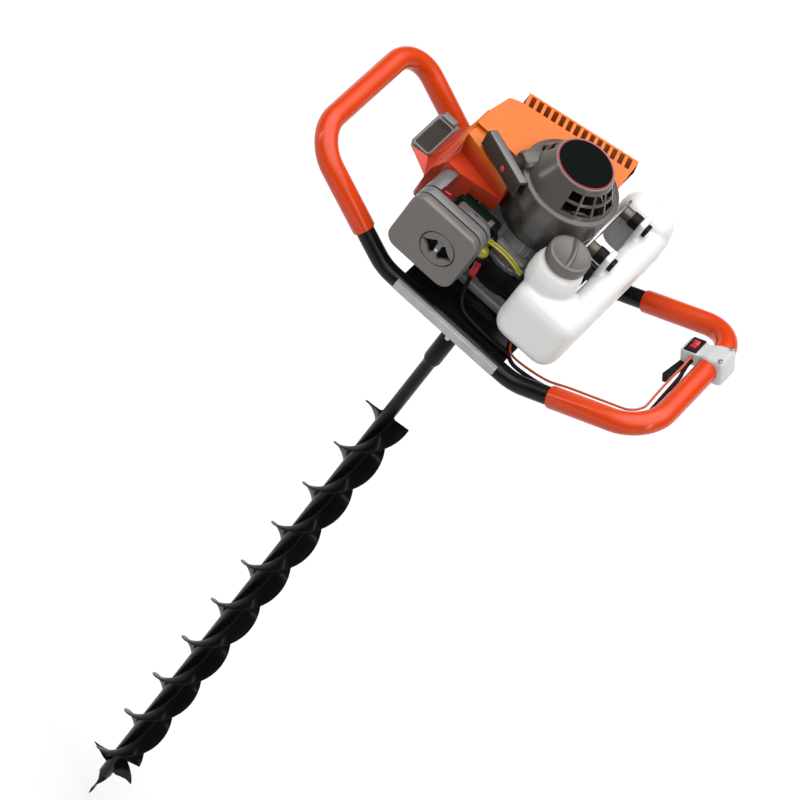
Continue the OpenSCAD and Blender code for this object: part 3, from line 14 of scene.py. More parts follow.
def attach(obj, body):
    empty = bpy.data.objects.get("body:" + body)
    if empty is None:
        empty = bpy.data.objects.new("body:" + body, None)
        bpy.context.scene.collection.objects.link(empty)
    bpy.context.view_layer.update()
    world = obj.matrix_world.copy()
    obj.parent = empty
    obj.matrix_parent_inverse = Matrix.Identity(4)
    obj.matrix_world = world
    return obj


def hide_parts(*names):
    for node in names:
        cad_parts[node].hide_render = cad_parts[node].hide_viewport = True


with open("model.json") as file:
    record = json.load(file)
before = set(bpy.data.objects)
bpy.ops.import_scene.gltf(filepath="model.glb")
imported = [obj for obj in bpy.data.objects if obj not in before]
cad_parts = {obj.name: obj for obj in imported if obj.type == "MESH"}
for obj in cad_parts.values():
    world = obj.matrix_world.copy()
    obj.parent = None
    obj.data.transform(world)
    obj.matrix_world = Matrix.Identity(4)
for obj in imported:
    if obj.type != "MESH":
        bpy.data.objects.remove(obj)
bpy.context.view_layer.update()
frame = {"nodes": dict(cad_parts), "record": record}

BASE = 1169.0
TIP = 0.0


# Camera

IMAGE_PX = 800
FOCAL_PX = 6000
SENSOR_MM = 36
VIEW_AZ, VIEW_EL, VIEW_ROLL = (math.radians(a) for a in (5.222, 44.015, 38.340))
VIEW_DISTANCE = 6.8432
AIM_PX = Vector((497.05, 276.87))


def add_camera():
    """Camera at the photograph's angle. The aim point, base centre, lands on AIM_PX without lens shift."""
    back = Vector((math.sin(VIEW_AZ) * math.cos(VIEW_EL), -math.cos(VIEW_AZ) * math.cos(VIEW_EL),
                   math.sin(VIEW_EL)))
    level = Vector((math.cos(VIEW_AZ), math.sin(VIEW_AZ), 0))
    upright = back.cross(level)
    right = math.cos(VIEW_ROLL) * level + math.sin(VIEW_ROLL) * upright
    up = math.cos(VIEW_ROLL) * upright - math.sin(VIEW_ROLL) * level
    place = Vector((0, 0, BASE / 1000)) + back * VIEW_DISTANCE
    off = (Vector((IMAGE_PX / 2, IMAGE_PX / 2)) - AIM_PX) / FOCAL_PX
    back = (back - right * off.x + up * off.y).normalized()
    right = (right - back * right.dot(back)).normalized()
    up = back.cross(right)
    data = bpy.data.cameras.new("camera")
    data.sensor_width = SENSOR_MM
    data.lens = FOCAL_PX / IMAGE_PX * SENSOR_MM
    data.clip_end = 60
    camera = bpy.data.objects.new("camera", data)
    camera.matrix_world = Matrix((
        (right.x, up.x, back.x, place.x),
        (right.y, up.y, back.y, place.y),
        (right.z, up.z, back.z, place.z),
        (0, 0, 0, 1)))
    bpy.context.scene.collection.objects.link(camera)
    bpy.context.scene.camera = camera


# Finishes

MATERIAL = {}
# Heights in metres between which a moulding's colour changes from painted shade to its own
SHROUD_SHADE_Z, SHROUD_OWN_COLOUR_Z = 1.316, 1.3345
FAN_SHADE_Z, STARTER_OWN_COLOUR_Z = 1.31, 1.328


class Finish:
    """A Principled material with short ways to add noise to its colour, roughness and normal."""

    def __init__(self, name, colour, rough, metal=0.0):
        self.mat = bpy.data.materials.new(name)
        self.mat.use_nodes = True
        self.tree = self.mat.node_tree
        self.shader = self.tree.nodes["Principled BSDF"]
        self.colour = colour
        self.rough = rough
        self.set("Base Color", (*colour, 1))
        self.set("Roughness", rough)
        self.set("Metallic", metal)
        self.coord = self.add("ShaderNodeTexCoord").outputs["Object"]
        MATERIAL[name] = self.mat

    def add(self, kind):
        return self.tree.nodes.new(kind)

    def link(self, a, b):
        self.tree.links.new(a, b)

    def set(self, socket, value):
        self.shader.inputs[socket].default_value = value

    def stretch(self, scale):
        node = self.add("ShaderNodeMapping")
        node.inputs["Scale"].default_value = scale
        self.link(self.coord, node.inputs["Vector"])
        return node.outputs["Vector"]

    def noise(self, scale, detail=3.0, vector=None):
        node = self.add("ShaderNodeTexNoise")
        node.inputs["Scale"].default_value = scale
        node.inputs["Detail"].default_value = detail
        self.link(vector or self.coord, node.inputs["Vector"])
        return node.outputs["Fac"]

    def ramp(self, value, low, high, a, b):
        """value between low and high, spread over a to b."""
        node = self.add("ShaderNodeMapRange")
        for key, v in (("From Min", low), ("From Max", high), ("To Min", a), ("To Max", b)):
            node.inputs[key].default_value = v
        self.link(value, node.inputs["Value"])
        return node.outputs["Result"]

    def mix(self, factor, a, b):
        node = self.add("ShaderNodeMix")
        node.data_type = "RGBA"
        node.inputs["A"].default_value = (*a, 1)
        node.inputs["B"].default_value = (*b, 1)
        self.link(factor, node.inputs["Factor"])
        return node.outputs["Result"]

    def mottle(self, scale, amount):
        """Colour that drifts a little darker and lighter."""
        dark = [c * (1 - amount) for c in self.colour]
        light = [min(1, c * (1 + amount)) for c in self.colour]
        drift = self.ramp(self.noise(scale), 0.3, 0.7, 0, 1)
        self.link(self.mix(drift, dark, light), self.shader.inputs["Base Color"])
        return self

    def uneven(self, scale, spread):
        """Roughness that varies over the surface."""
        value = self.ramp(self.noise(scale, 5), 0.3, 0.7, self.rough - spread, self.rough + spread)
        self.link(value, self.shader.inputs["Roughness"])
        return self

    def grain(self, scale, strength, depth=0.0003, vector=None):
        """Fine relief in the normal."""
        node = self.add("ShaderNodeBump")
        node.inputs["Strength"].default_value = strength
        node.inputs["Distance"].default_value = depth
        self.link(self.noise(scale, 2, vector), node.inputs["Height"])
        self.link(node.outputs["Normal"], self.shader.inputs["Normal"])
        return self

    def paint_shade_below(self, low, high, below):
        """Painted shade lower down: the darker colour below under the height low, the finish's own from high
        on.
        """
        split = self.add("ShaderNodeSeparateXYZ")
        self.link(self.coord, split.inputs["Vector"])
        share = self.ramp(split.outputs["Z"], low, high, 0, 1)
        self.link(self.mix(share, below, self.colour), self.shader.inputs["Base Color"])
        return self

    def coat(self, weight, rough):
        self.set("Coat Weight", weight)
        self.set("Coat Roughness", rough)
        return self


def paint(name, colour, rough):
    """Glossy black paint. Little of the room shows in it, so only the lamps and the floor's edge streak."""
    finish = Finish(name, colour, rough).mottle(20, 0.3).uneven(60, 0.06).grain(160, 0.08)
    finish.set("Specular IOR Level", 0.16)
    return finish.coat(0.06, 0.05)


def moulded(name, colour, rough, grain=900, relief=0.06, drift=0.05):
    return Finish(name, colour, rough).mottle(26, drift).uneven(40, 0.02).grain(grain, relief)


def rubber(name, colour, rough):
    return Finish(name, colour, rough).mottle(40, 0.1).uneven(120, 0.08).grain(900, 0.15)


def cast(name, colour, rough):
    return Finish(name, colour, rough, 0.45).mottle(35, 0.12).uneven(60, 0.05).grain(900, 0.15)


def machined(name, colour, rough, metal=1.0):
    finish = Finish(name, colour, rough, metal).mottle(60, 0.1).uneven(200, 0.08)
    return finish.grain(120, 0.12, vector=finish.stretch((1, 1, 40)))


def dull(finish, level=0.1):
    """Takes most of the room's reflection off a finish."""
    finish.set("Specular IOR Level", level)
    return finish


def make_finishes():
    paint("frame_paint", (0.003, 0.003, 0.0034), 0.24)
    dull(paint("auger_paint", (0.0022, 0.0022, 0.0025), 0.3), 0.05)
    machined("rail_alloy", (0.33, 0.33, 0.335), 0.42, 0.4)
    dull(moulded("grip_orange", (0.44, 0.033, 0.002), 0.2, 700, 0.02, 0.03), 0.34)
    cast("cast_alloy", (0.2, 0.193, 0.185), 0.4)
    machined("steel", (0.42, 0.41, 0.4), 0.3)
    dull(moulded("black_plastic", (0.006, 0.006, 0.006), 0.36))
    moulded("ceramic", (0.55, 0.54, 0.51), 0.2, 400, 0.04)
    machined("exhaust_steel", (0.13, 0.115, 0.1), 0.5)
    dull(moulded("insulator_green", (0.003, 0.011, 0.007), 0.45))
    moulded("intake_gray", (0.108, 0.104, 0.105), 0.3, drift=0.02)
    rubber("foam", (0.02, 0.02, 0.019), 0.9)
    starter = moulded("starter_gray", (0.056, 0.048, 0.043), 0.26)
    # Painted shade: the starter grey turns near black low down, for the shadow under the starter's rim
    starter.paint_shade_below(FAN_SHADE_Z, STARTER_OWN_COLOUR_Z, (0.018, 0.016, 0.015))
    dull(moulded("badge_black", (0.002, 0.0036, 0.003), 0.5, 700, 0.04), 0.02)
    shroud = dull(moulded("shroud_orange", (0.48, 0.105, 0.009), 0.36), 0.35)
    # Painted shade: the orange turns deep red low down, for the shade on the front walls under the top plate
    # and the pull handle
    shroud.paint_shade_below(SHROUD_SHADE_Z, SHROUD_OWN_COLOUR_Z, (0.4, 0.032, 0.008))
    moulded("cover_gray", (0.15, 0.14, 0.135), 0.3)
    tank = moulded("tank_white", (0.55, 0.55, 0.54), 0.32, 500, 0.05, 0.015)
    tank.set("Subsurface Weight", 0.25)
    tank.set("Subsurface Radius", (0.02, 0.02, 0.018))
    tank.set("Subsurface Scale", 0.3)
    dull(rubber("black_rubber", (0.004, 0.004, 0.004), 0.4))
    moulded("fuel_yellow", (0.27, 0.245, 0.01), 0.14, 300, 0.03)
    moulded("switch_silver", (0.4, 0.4, 0.41), 0.26)
    rubber("lead_red", (0.38, 0.045, 0.012), 0.4)
    machined("fan_alloy", (0.4, 0.4, 0.4), 0.4)
    dull(moulded("handle_taupe", (0.024, 0.019, 0.014), 0.34))
    rope = Finish("rope_fibre", (0.45, 0.43, 0.4), 0.8)
    rope.mottle(300, 0.15).grain(900, 0.8, 0.0008)
    moulded("red_plastic", (0.36, 0.008, 0.012), 0.26)
    moulded("cap_taupe", (0.088, 0.076, 0.071), 0.4)
    moulded("filter_taupe", (0.098, 0.088, 0.081), 0.34, 900, 0.03, 0.03)


# Mesh tools

def piece(name, bm, finish, body="engine", nodes=(), base=BASE, sharp=32):
    """Turns a shape in millimetres into a piece that rides on a body and may stand for solids."""
    bmesh.ops.remove_doubles(bm, verts=bm.verts, dist=0.002)
    bmesh.ops.recalc_face_normals(bm, faces=bm.faces)
    for v in bm.verts:
        v.co = Vector((v.co.x, v.co.y, v.co.z + base)) / 1000
    mesh = bpy.data.meshes.new(name)
    bm.to_mesh(mesh)
    bm.free()
    mesh.shade_smooth()
    mesh.set_sharp_from_angle(angle=math.radians(sharp))
    mesh.materials.append(MATERIAL[finish])
    obj = bpy.data.objects.new(name, mesh)
    bpy.context.scene.collection.objects.link(obj)
    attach(obj, body)
    if nodes:
        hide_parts(*nodes)
    return obj


def join(*shapes):
    """One shape out of several."""
    whole = bmesh.new()
    for bm in shapes:
        mesh = bpy.data.meshes.new("part")
        bm.to_mesh(mesh)
        bm.free()
        whole.from_mesh(mesh)
        bpy.data.meshes.remove(mesh)
    return whole


def moved(bm, matrix):
    bmesh.ops.transform(bm, matrix=matrix, verts=bm.verts)
    return bm


def at(x, y, z):
    return Matrix.Translation((x, y, z))


def turn(angle, axis):
    return Matrix.Rotation(math.radians(angle), 4, axis)


def rounded(bm, width, steps=2, angle=30):
    """Rounds the edges that are sharper than angle."""
    bmesh.ops.remove_doubles(bm, verts=bm.verts, dist=0.002)
    bmesh.ops.recalc_face_normals(bm, faces=bm.faces)
    edges = [e for e in bm.edges if len(e.link_faces) == 2 and e.calc_face_angle(0) > math.radians(angle)]
    bmesh.ops.bevel(bm, geom=edges, offset=width, segments=steps, profile=0.5, affect="EDGES",
                    clamp_overlap=True)
    return bm


def loft(rings, closed=False, caps=True):
    """Skin over rings of equally many points."""
    bm = bmesh.new()
    rows = [[bm.verts.new(p) for p in ring] for ring in rings]
    n = len(rings[0])
    last = len(rows) if closed else len(rows) - 1
    for i in range(last):
        a, b = rows[i], rows[(i + 1) % len(rows)]
        for k in range(n):
            bm.faces.new((a[k], a[(k + 1) % n], b[(k + 1) % n], b[k]))
    if caps and not closed:
        bm.faces.new(rows[0][::-1])
        bm.faces.new(rows[-1])
    return bm


def lathe(profile, steps=72):
    """Turns a list of (radius, height) round Z. A radius of 0 closes that end."""
    bm = bmesh.new()
    rows = []
    for r, z in profile:
        if r == 0:
            rows.append([bm.verts.new((0, 0, z))])
        else:
            angles = [2 * math.pi * k / steps for k in range(steps)]
            rows.append([bm.verts.new((r * math.cos(a), r * math.sin(a), z)) for a in angles])
    for a, b in zip(rows, rows[1:]):
        for k in range(steps):
            q = (k + 1) % steps
            if len(a) == 1:
                bm.faces.new((a[0], b[q], b[k]))
            elif len(b) == 1:
                bm.faces.new((a[k], a[q], b[0]))
            else:
                bm.faces.new((a[k], a[q], b[q], b[k]))
    return bm


def ring_lathe(profile, steps=72):
    """Turns a closed outline of (radius, height) round Z."""
    return lathe(list(profile) + [profile[0]], steps)


def sweep(points, radius, sides=16, closed=False):
    """Round bar along points. radius is a number, or one number for each point."""
    points = [Vector(p) for p in points]
    n = len(points)
    radii = radius if isinstance(radius, (list, tuple)) else [radius] * n
    rings = []
    normal = None
    for i, p in enumerate(points):
        after = points[(i + 1) % n] if closed else points[min(i + 1, n - 1)]
        before = points[i - 1] if closed else points[max(i - 1, 0)]
        ahead = (after - before).normalized()
        if normal is None:
            normal = ahead.orthogonal().normalized()
        normal = (normal - ahead * normal.dot(ahead)).normalized()
        side = ahead.cross(normal)
        angles = [2 * math.pi * k / sides for k in range(sides)]
        rings.append([p + radii[i] * (math.cos(a) * normal + math.sin(a) * side) for a in angles])
    if closed:
        return seam_loft(rings)
    return loft(rings)


def seam_loft(rings):
    """Closed loft whose last ring may be turned against the first: the nearest points are joined."""
    n = len(rings[0])
    best = min(range(n), key=lambda k: (rings[-1][k] - rings[0][0]).length)
    bm = loft(rings, caps=False)
    bm.verts.ensure_lookup_table()
    first = [bm.verts[k] for k in range(n)]
    last = [bm.verts[(len(rings) - 1) * n + k] for k in range(n)]
    for k in range(n):
        a, b = last[(best + k) % n], last[(best + k + 1) % n]
        bm.faces.new((a, b, first[(k + 1) % n], first[k]))
    return bm


def smooth_path(points, steps=8):
    """Catmull-Rom curve through given points."""
    pts = [Vector(p) for p in points]
    pts = [2 * pts[0] - pts[1]] + pts + [2 * pts[-1] - pts[-2]]
    out = []
    for a, b, c, d in zip(pts, pts[1:], pts[2:], pts[3:]):
        for k in range(steps):
            t = k / steps
            out.append(0.5 * (2 * b + (c - a) * t + (2 * a - 5 * b + 4 * c - d) * t * t
                              + (3 * b - a - 3 * c + d) * t ** 3))
    out.append(pts[-2])
    return out


def round_rect(w, h, r, steps=6):
    """Outline of a rectangle with round corners, about the origin."""
    out = []
    for cx, cy, start in ((1, 1, 0), (-1, 1, 90), (-1, -1, 180), (1, -1, 270)):
        for k in range(steps + 1):
            a = math.radians(start + 90 * k / steps)
            out.append((cx * (w / 2 - r) + r * math.cos(a), cy * (h / 2 - r) + r * math.sin(a)))
    return out


def prism(outline, z0, z1):
    return loft([[(x, y, z0) for x, y in outline], [(x, y, z1) for x, y in outline]])


def block(x0, x1, y0, y1, z0, z1):
    return prism([(x0, y0), (x1, y0), (x1, y1), (x0, y1)], z0, z1)


def soft_copy(node, finish, body="engine", width=0.8, steps=2):
    """Copy of a solid whose sharp edges are rounded, in place of the solid."""
    bm = bmesh.new()
    bm.from_mesh(frame["nodes"][node].data)
    bmesh.ops.scale(bm, vec=(1000, 1000, 1000), verts=bm.verts)
    bmesh.ops.remove_doubles(bm, verts=bm.verts, dist=0.004)
    bmesh.ops.dissolve_limit(bm, angle_limit=math.radians(1.5), verts=bm.verts, edges=bm.edges)
    rounded(bm, width, steps, 35)
    return piece(node + "_skin", bm, finish, body, (node,), base=0)


# Places shared by several pieces, as the solids have them

ARM_FOOT, FRAME_HALF_W, FRAME_HALF_D, GRIP_RISE = 98.0, 250.0, 110.0, 82.0
BEND_R, CORNER_R, TUBE_R, GRIP_R, GRIP_START = 60.0, 45.0, 11.0, 13.6, 48.0
FOOT_GAP, GRIP_END, GRIP_LIP, GRIP_SHOULDER = 20.0, 2.4, 2.3, 0.8
ARM_A = math.atan2(GRIP_RISE, FRAME_HALF_W - ARM_FOOT)
ARM_L = math.hypot(FRAME_HALF_W - ARM_FOOT, GRIP_RISE)
BEND_T = BEND_R * math.tan(ARM_A / 2)


def on_loop(x, y, z, side=1):
    """Point of a hand loop: x along the arm from its foot, y along the bar, z off the loop's plane."""
    return Vector((side * (ARM_FOOT + x * math.cos(ARM_A) - z * math.sin(ARM_A)), side * y,
                   x * math.sin(ARM_A) + z * math.cos(ARM_A)))


def on_bar(x, y, z):
    return on_loop(ARM_L + x, y, z)


def loop_line(start, side, steps=14):
    """Centre-line of one hand loop, from the arm at minus y round the bar to the arm at plus y."""
    out = [on_loop(start, -FRAME_HALF_D, 0, side)]
    inner = FRAME_HALF_D - CORNER_R
    for cy, first in ((-inner, -90), (inner, 0)):
        for k in range(steps + 1):
            a = math.radians(first + 90 * k / steps)
            x = ARM_L - CORNER_R + CORNER_R * math.cos(a)
            out.append(on_loop(x, cy + CORNER_R * math.sin(a), 0, side))
    out.append(on_loop(start, FRAME_HALF_D, 0, side))
    return out


def foot_bend(side, s, steps=6):
    """Where a base tube at s turns up into an arm, outward."""
    out = []
    for k in range(steps + 1):
        a = ARM_A * k / steps
        out.append(Vector((side * (ARM_FOOT - BEND_T + BEND_R * math.sin(a)), side * s,
                           BEND_R * (1 - math.cos(a)))))
    return out


def make_frame():
    """Tube frame and the sleeves of its two hand loops."""
    line = []
    for side in (1, -1):
        line += foot_bend(side, -FRAME_HALF_D)
        line += loop_line(BEND_T + FOOT_GAP, side)
        line += foot_bend(side, FRAME_HALF_D)[::-1]
    piece("frame_tube_skin", sweep(line, TUBE_R, 28, closed=True), "frame_paint", nodes=("frame_tube",))
    for side, name in ((-1, "left_grip"), (1, "right_grip")):
        path = rounded_ends(loop_line(GRIP_START, side), GRIP_END)
        end = [GRIP_R - GRIP_LIP, GRIP_R - GRIP_SHOULDER]
        radii = end + [GRIP_R] * (len(path) - 4) + end[::-1]
        piece(name + "_skin", sweep(path, radii, 32), "grip_orange", nodes=(name,))


def rounded_ends(path, length):
    """Adds a point just inside each end, so a sweep can round the end off."""
    first = (path[1] - path[0]).normalized()
    last = (path[-2] - path[-1]).normalized()
    return ([path[0], path[0] + first * length / 3, path[0] + first * length] + path[1:-1]
            + [path[-1] + last * length, path[-1] + last * length / 3, path[-1]])


def cut(bm, tool):
    """The shape less another closed shape."""
    objs = []
    for shape in (bm, tool):
        bmesh.ops.remove_doubles(shape, verts=shape.verts, dist=0.002)
        bmesh.ops.recalc_face_normals(shape, faces=shape.faces)
        mesh = bpy.data.meshes.new("blank")
        shape.to_mesh(mesh)
        shape.free()
        obj = bpy.data.objects.new("blank", mesh)
        bpy.context.scene.collection.objects.link(obj)
        objs.append(obj)
    modifier = objs[0].modifiers.new("cut", "BOOLEAN")
    modifier.operation = "DIFFERENCE"
    modifier.solver = "EXACT"
    modifier.object = objs[1]
    return taken(objs)


def taken(objs):
    """The evaluated shape of the first object. All of them are then removed."""
    graph = bpy.context.evaluated_depsgraph_get()
    out = bmesh.new()
    out.from_mesh(objs[0].evaluated_get(graph).to_mesh())
    for obj in objs:
        mesh = obj.data
        bpy.data.objects.remove(obj)
        bpy.data.meshes.remove(mesh)
    return out


def molten(bm, voxel, rounds):
    """Overlapping shapes flowed into one blow-moulded skin."""
    mesh = bpy.data.meshes.new("blank")
    bm.to_mesh(mesh)
    bm.free()
    obj = bpy.data.objects.new("blank", mesh)
    bpy.context.scene.collection.objects.link(obj)
    remesh = obj.modifiers.new("melt", "REMESH")
    remesh.mode = "VOXEL"
    remesh.voxel_size = voxel
    smooth = obj.modifiers.new("flow", "SMOOTH")
    smooth.factor = 0.5
    smooth.iterations = rounds
    return taken([obj])


def thick(bm, depth, edge=0.0):
    """A sheet given its wall, inward, with its edges rounded."""
    mesh = bpy.data.meshes.new("blank")
    bmesh.ops.remove_doubles(bm, verts=bm.verts, dist=0.01)
    bmesh.ops.recalc_face_normals(bm, faces=bm.faces)
    bm.to_mesh(mesh)
    bm.free()
    obj = bpy.data.objects.new("blank", mesh)
    bpy.context.scene.collection.objects.link(obj)
    wall = obj.modifiers.new("wall", "SOLIDIFY")
    wall.thickness = depth
    wall.offset = -1
    wall.use_even_offset = True
    wall.thickness_clamp = 0.5
    if edge:
        soft = obj.modifiers.new("soft", "BEVEL")
        soft.width = edge
        soft.segments = 2
        soft.angle_limit = math.radians(35)
    return taken([obj])


# Bit

STEM_R, FLIGHT_R, FLIGHT_T, FLIGHT_LEAD, FLIGHT_STARTS = 8.25, 31.0, 3.0, 176.5, 2
FLIGHT_LOW, FLIGHT_TOP, FLIGHT_TURN = 92.0, 880.0, 22.0
ROOT_T, TURN_STEPS, PILOT_STEPS = 4.4, 72, 56
WING_Z, WING_TILT, WING_TWIST, WING_TWIST_X, WING_TWIST_L = 80.0, 24.0, 16.0, 10, 26
WING_HALF_T, WING_THIN, WING_THIN_X, WING_THIN_L = 2, 1.5, 12, 24
WING_OUTLINE = ((6.5, -12), (13, -12), (20, -9.2), (27, -7.4), (36, -8), (33.5, -4), (28, 1.5), (20, 7),
                (13, 10.8), (6.5, 12))
PILOT_H, PILOT_W, PILOT_T, PILOT_TWIST = 58.0, 17.0, 3, 230.0


def make_bit():
    """Stem, two screw flights, two cutting wings and the twisted pilot."""
    soft_copy("auger_stem", "auger_paint", "auger", 0.9)
    half = FLIGHT_T / 2
    section = [(STEM_R - 1, ROOT_T), (STEM_R + 0.9, half + 1.2), (STEM_R + 2.8, half), (FLIGHT_R - 1, half),
               (FLIGHT_R - 0.3, half * 0.72), (FLIGHT_R, half * 0.3)]
    section = section + [(r, -z) for r, z in section[::-1]]
    turns = (FLIGHT_TOP - FLIGHT_LOW) / FLIGHT_LEAD
    n = int(turns * TURN_STEPS)
    flights = []
    for k in range(FLIGHT_STARTS):
        rings = []
        for i in range(n + 1):
            f = i / n
            a = math.radians(FLIGHT_TURN + 360 * (k / FLIGHT_STARTS + turns * f))
            z0 = FLIGHT_LOW + (FLIGHT_TOP - FLIGHT_LOW) * f
            rings.append([(r * math.cos(a), r * math.sin(a), z0 + z) for r, z in section])
        flights.append(loft(rings))
    piece("flight_skin", join(*flights), "auger_paint", "auger", ("auger_flight",), TIP)
    wings = []
    for k in (0, 1):
        high = [(x, y, WING_HALF_T - WING_THIN * max(0, x - WING_THIN_X) / WING_THIN_L)
                for x, y in WING_OUTLINE]
        low = [(x, y, -z) for x, y, z in high]
        wing = rounded(loft([low, high]), 0.35, 2, 50)
        for v in wing.verts:
            bend = math.radians(WING_TWIST * max(0, v.co.x - WING_TWIST_X) / WING_TWIST_L)
            v.co = Matrix.Rotation(bend, 3, "X") @ v.co
        wings.append(moved(wing, turn(180 * k, "Z") @ at(0, 0, WING_Z) @ turn(WING_TILT, "X")))
    piece("wings_skin", join(*wings), "auger_paint", "auger", ("cutting_blades",), TIP, 40)
    rings = []
    for i in range(PILOT_STEPS + 1):
        f = i / PILOT_STEPS
        a = math.radians(PILOT_TWIST * f)
        w = PILOT_W / 2 * (0.06 + 0.94 * f ** 0.9)
        t = PILOT_T * (0.12 + 0.88 * f)
        lens = [(-w, 0), (-w * 0.8, -t * 0.55), (0, -t), (w * 0.8, -t * 0.55),
                (w, 0), (w * 0.8, t * 0.55), (0, t), (-w * 0.8, t * 0.55)]
        rings.append([(x * math.cos(a) - y * math.sin(a), x * math.sin(a) + y * math.cos(a), PILOT_H * f)
                      for x, y in lens])
    piece("pilot_skin", loft(rings), "auger_paint", "auger", ("pilot_point",), TIP, 50)


# Fuel

CAP_X, CAP_Y, CAP_Z, CAP_R, CAP_H = 55.0, -68.0, 154.5, 26.0, 16.0
FIN_STEPS, FIN_BOW, FIN_LIFT, FIN_HALF, FIN_ROOT, FIN_TURN = 16, 3.2, 4.6, 2.2, 1.6, -72
LUG_Y, TANK_VOXEL, TANK_FLOW, FILLER_R = (4, 84), 1.7, 5, 15
# x, y and z ranges, and the rounding, of the lobes that flow into the tank
TANK_LOBES = ((33, 120, -112, -48, 35, 122, 22), (84, 120, -102, 134, 42, 120, 17),
              (47, 117, 97, 142, 50, 133, 21.5))
TANK_SHOULDER = ((0, 96), (22, 96), (29.5, 112), (31, 122), (30.6, 136), (28, 146), (22.5, 151.5),
                 (18.4, 154), (18, 164.4), (17.4, 165.6), (0, 165.6))
SEAM_X, SEAM_Z, SEAM_R = 120.1, 78, 0.7
MOUNT_X, MOUNT_Z = 59.5, 130
SLEEVE = ((0, 0), (7.4, 0), (8, 0.6), (8, 9.4), (8.8, 10), (8.8, 11.6), (0, 11.6))
BUSH = ((0, 11.4), (8.9, 11.4), (9.5, 12.2), (9.5, 22.6), (8.6, 23.5), (0, 23.5))


def soft_box(x0, x1, y0, y1, z0, z1, r, steps=4):
    """Box with round edges and corners."""
    size = (x1 - x0, y1 - y0, z1 - z0)
    bm = bmesh.new()
    bmesh.ops.create_cube(bm, size=1)
    bmesh.ops.scale(bm, vec=size, verts=bm.verts)
    bmesh.ops.bevel(bm, geom=bm.edges[:], offset=r, segments=steps, profile=0.5, affect="EDGES")
    return moved(bm, at((x0 + x1) / 2, (y0 + y1) / 2, (z0 + z1) / 2))


def make_tank():
    """Blow-moulded tank with its shoulder, neck, lugs and parting line."""
    shoulder = moved(lathe(TANK_SHOULDER, 48), at(CAP_X, CAP_Y, 0))
    lugs = [soft_box(83, 91, y - 11, y + 11, 98, 142, 1.6, 2) for y in LUG_Y]
    lobes = [soft_box(*lobe, 5) for lobe in TANK_LOBES]
    body = molten(join(*lobes, shoulder, *lugs), TANK_VOXEL, TANK_FLOW)
    bore = moved(lathe([(0, 108), (FILLER_R, 108), (FILLER_R, 170), (0, 170)], 40), at(CAP_X, CAP_Y, 0))
    piece("tank_skin", cut(body, bore), "tank_white", nodes=("fuel_tank",), sharp=50)
    seam = [(SEAM_X, y, SEAM_Z) for y in range(-92, 126, 6)]
    piece("tank_seam", sweep(seam, SEAM_R, 8), "tank_white")


def make_cap():
    """Screw cap with a curved grip fin."""
    body = lathe([(0, 0), (CAP_R - 1.4, 0), (CAP_R - 0.3, 0.6), (CAP_R, 1.6), (CAP_R, CAP_H - 2.4),
                  (CAP_R - 0.7, CAP_H - 0.8), (CAP_R - 2.3, CAP_H), (CAP_R - 3.4, CAP_H + 0.1),
                  (CAP_R - 4.4, CAP_H - 0.5), (0, CAP_H - 0.5)], 96)
    rings = []
    foot = CAP_H - 0.6
    for i in range(FIN_STEPS + 1):
        f = i / FIN_STEPS * 2 - 1
        bow = FIN_BOW * (1 - f * f)
        lift = FIN_LIFT * math.sqrt(max(0.0, 1 - f ** 4)) + 0.1
        x = f * (CAP_R - 1.5)
        rings.append([(x, bow - FIN_HALF - FIN_ROOT, CAP_H - 1), (x, bow + FIN_HALF + FIN_ROOT, CAP_H - 1),
                      (x, bow + FIN_HALF, foot + lift * 0.7), (x, bow + FIN_HALF * 0.5, foot + lift),
                      (x, bow - FIN_HALF * 0.5, foot + lift), (x, bow - FIN_HALF, foot + lift * 0.7)])
    fin = moved(loft(rings), turn(FIN_TURN, "Z"))
    piece("cap_skin", moved(join(body, fin), at(CAP_X, CAP_Y, CAP_Z)), "cap_taupe", "cap", ("fuel_cap",))


def make_tank_mounts():
    """Sleeved rubber bushes, and the square-headed bolts that hold the tank's lugs."""
    bushes, sleeves = [], []
    for y in LUG_Y:
        along = at(MOUNT_X, y, MOUNT_Z) @ turn(90, "Y")
        sleeves.append(moved(lathe(SLEEVE, 40), along))
        bushes.append(moved(lathe(BUSH, 40), along))
        bushes.append(rounded(block(91, 96, y - 6, y + 6, 124, 136), 0.8, 2))
    piece("mounts_skin", join(*bushes), "black_rubber", nodes=("tank_mounts",))
    piece("mount_sleeves", join(*sleeves), "exhaust_steel")


# Starter

ROPE_AZ, ROPE_R, ROPE_Z, BOSS_REACH = -122.0, 31.0, 186.0, 56.0
GRILLE_N, RIM_Z, RIM_R = 16, 191.0, 60.5
STARTER_PROFILE = (
    (58.5, 158), (58.5, 181.6), (60.2, 182.6), (RIM_R, 183.6), (RIM_R, RIM_Z - 5.4), (60, RIM_Z - 4.4),
    (59, RIM_Z - 4), (54.2, RIM_Z - 4), (53.4, RIM_Z - 2.8), (52.4, 191.6), (46.4, 202.2),
    (44.9, 205.0), (39.6, 214.8), (38, 217.8), (37.4, 219.6), (36.8, 220.7), (36, 221))
# Rows of the profile that hold windows, and how much of a window's pitch each side of its middle is open
WINDOW_ROWS = (9, 11)
WINDOW_HALF = {9: 0.425, 10: 0.425, 11: 0.416, 12: 0.416}
PLAIN_HALF, CLOSED_PITCHES, STARTER_WALL = 0.42, 1.6, 2.4
# Along the rope: distance, half width, bottom and top of the collar's eight-sided sections
BOSS_SHAPE = ((30, 13.5, -16, 14), (46, 12.5, -14, 13), (53, 11.8, -12, 12), (BOSS_REACH, 10.6, -10.6, 10.6))
BOSS_CORNER = 5
PULL_AT, HANDLE_STEM, HANDLE_R, HANDLE_TILT = 57.0, 13.0, 9.0, 8.0
BAR_DEEP, BAR_LONG, BAR_HIGH, BAR_SOFT = 14.0, 82.0, 22.0, 2.6
BAR_END, BAR_HOLLOW, DOT_Y = BAR_LONG / 2, 14, 7
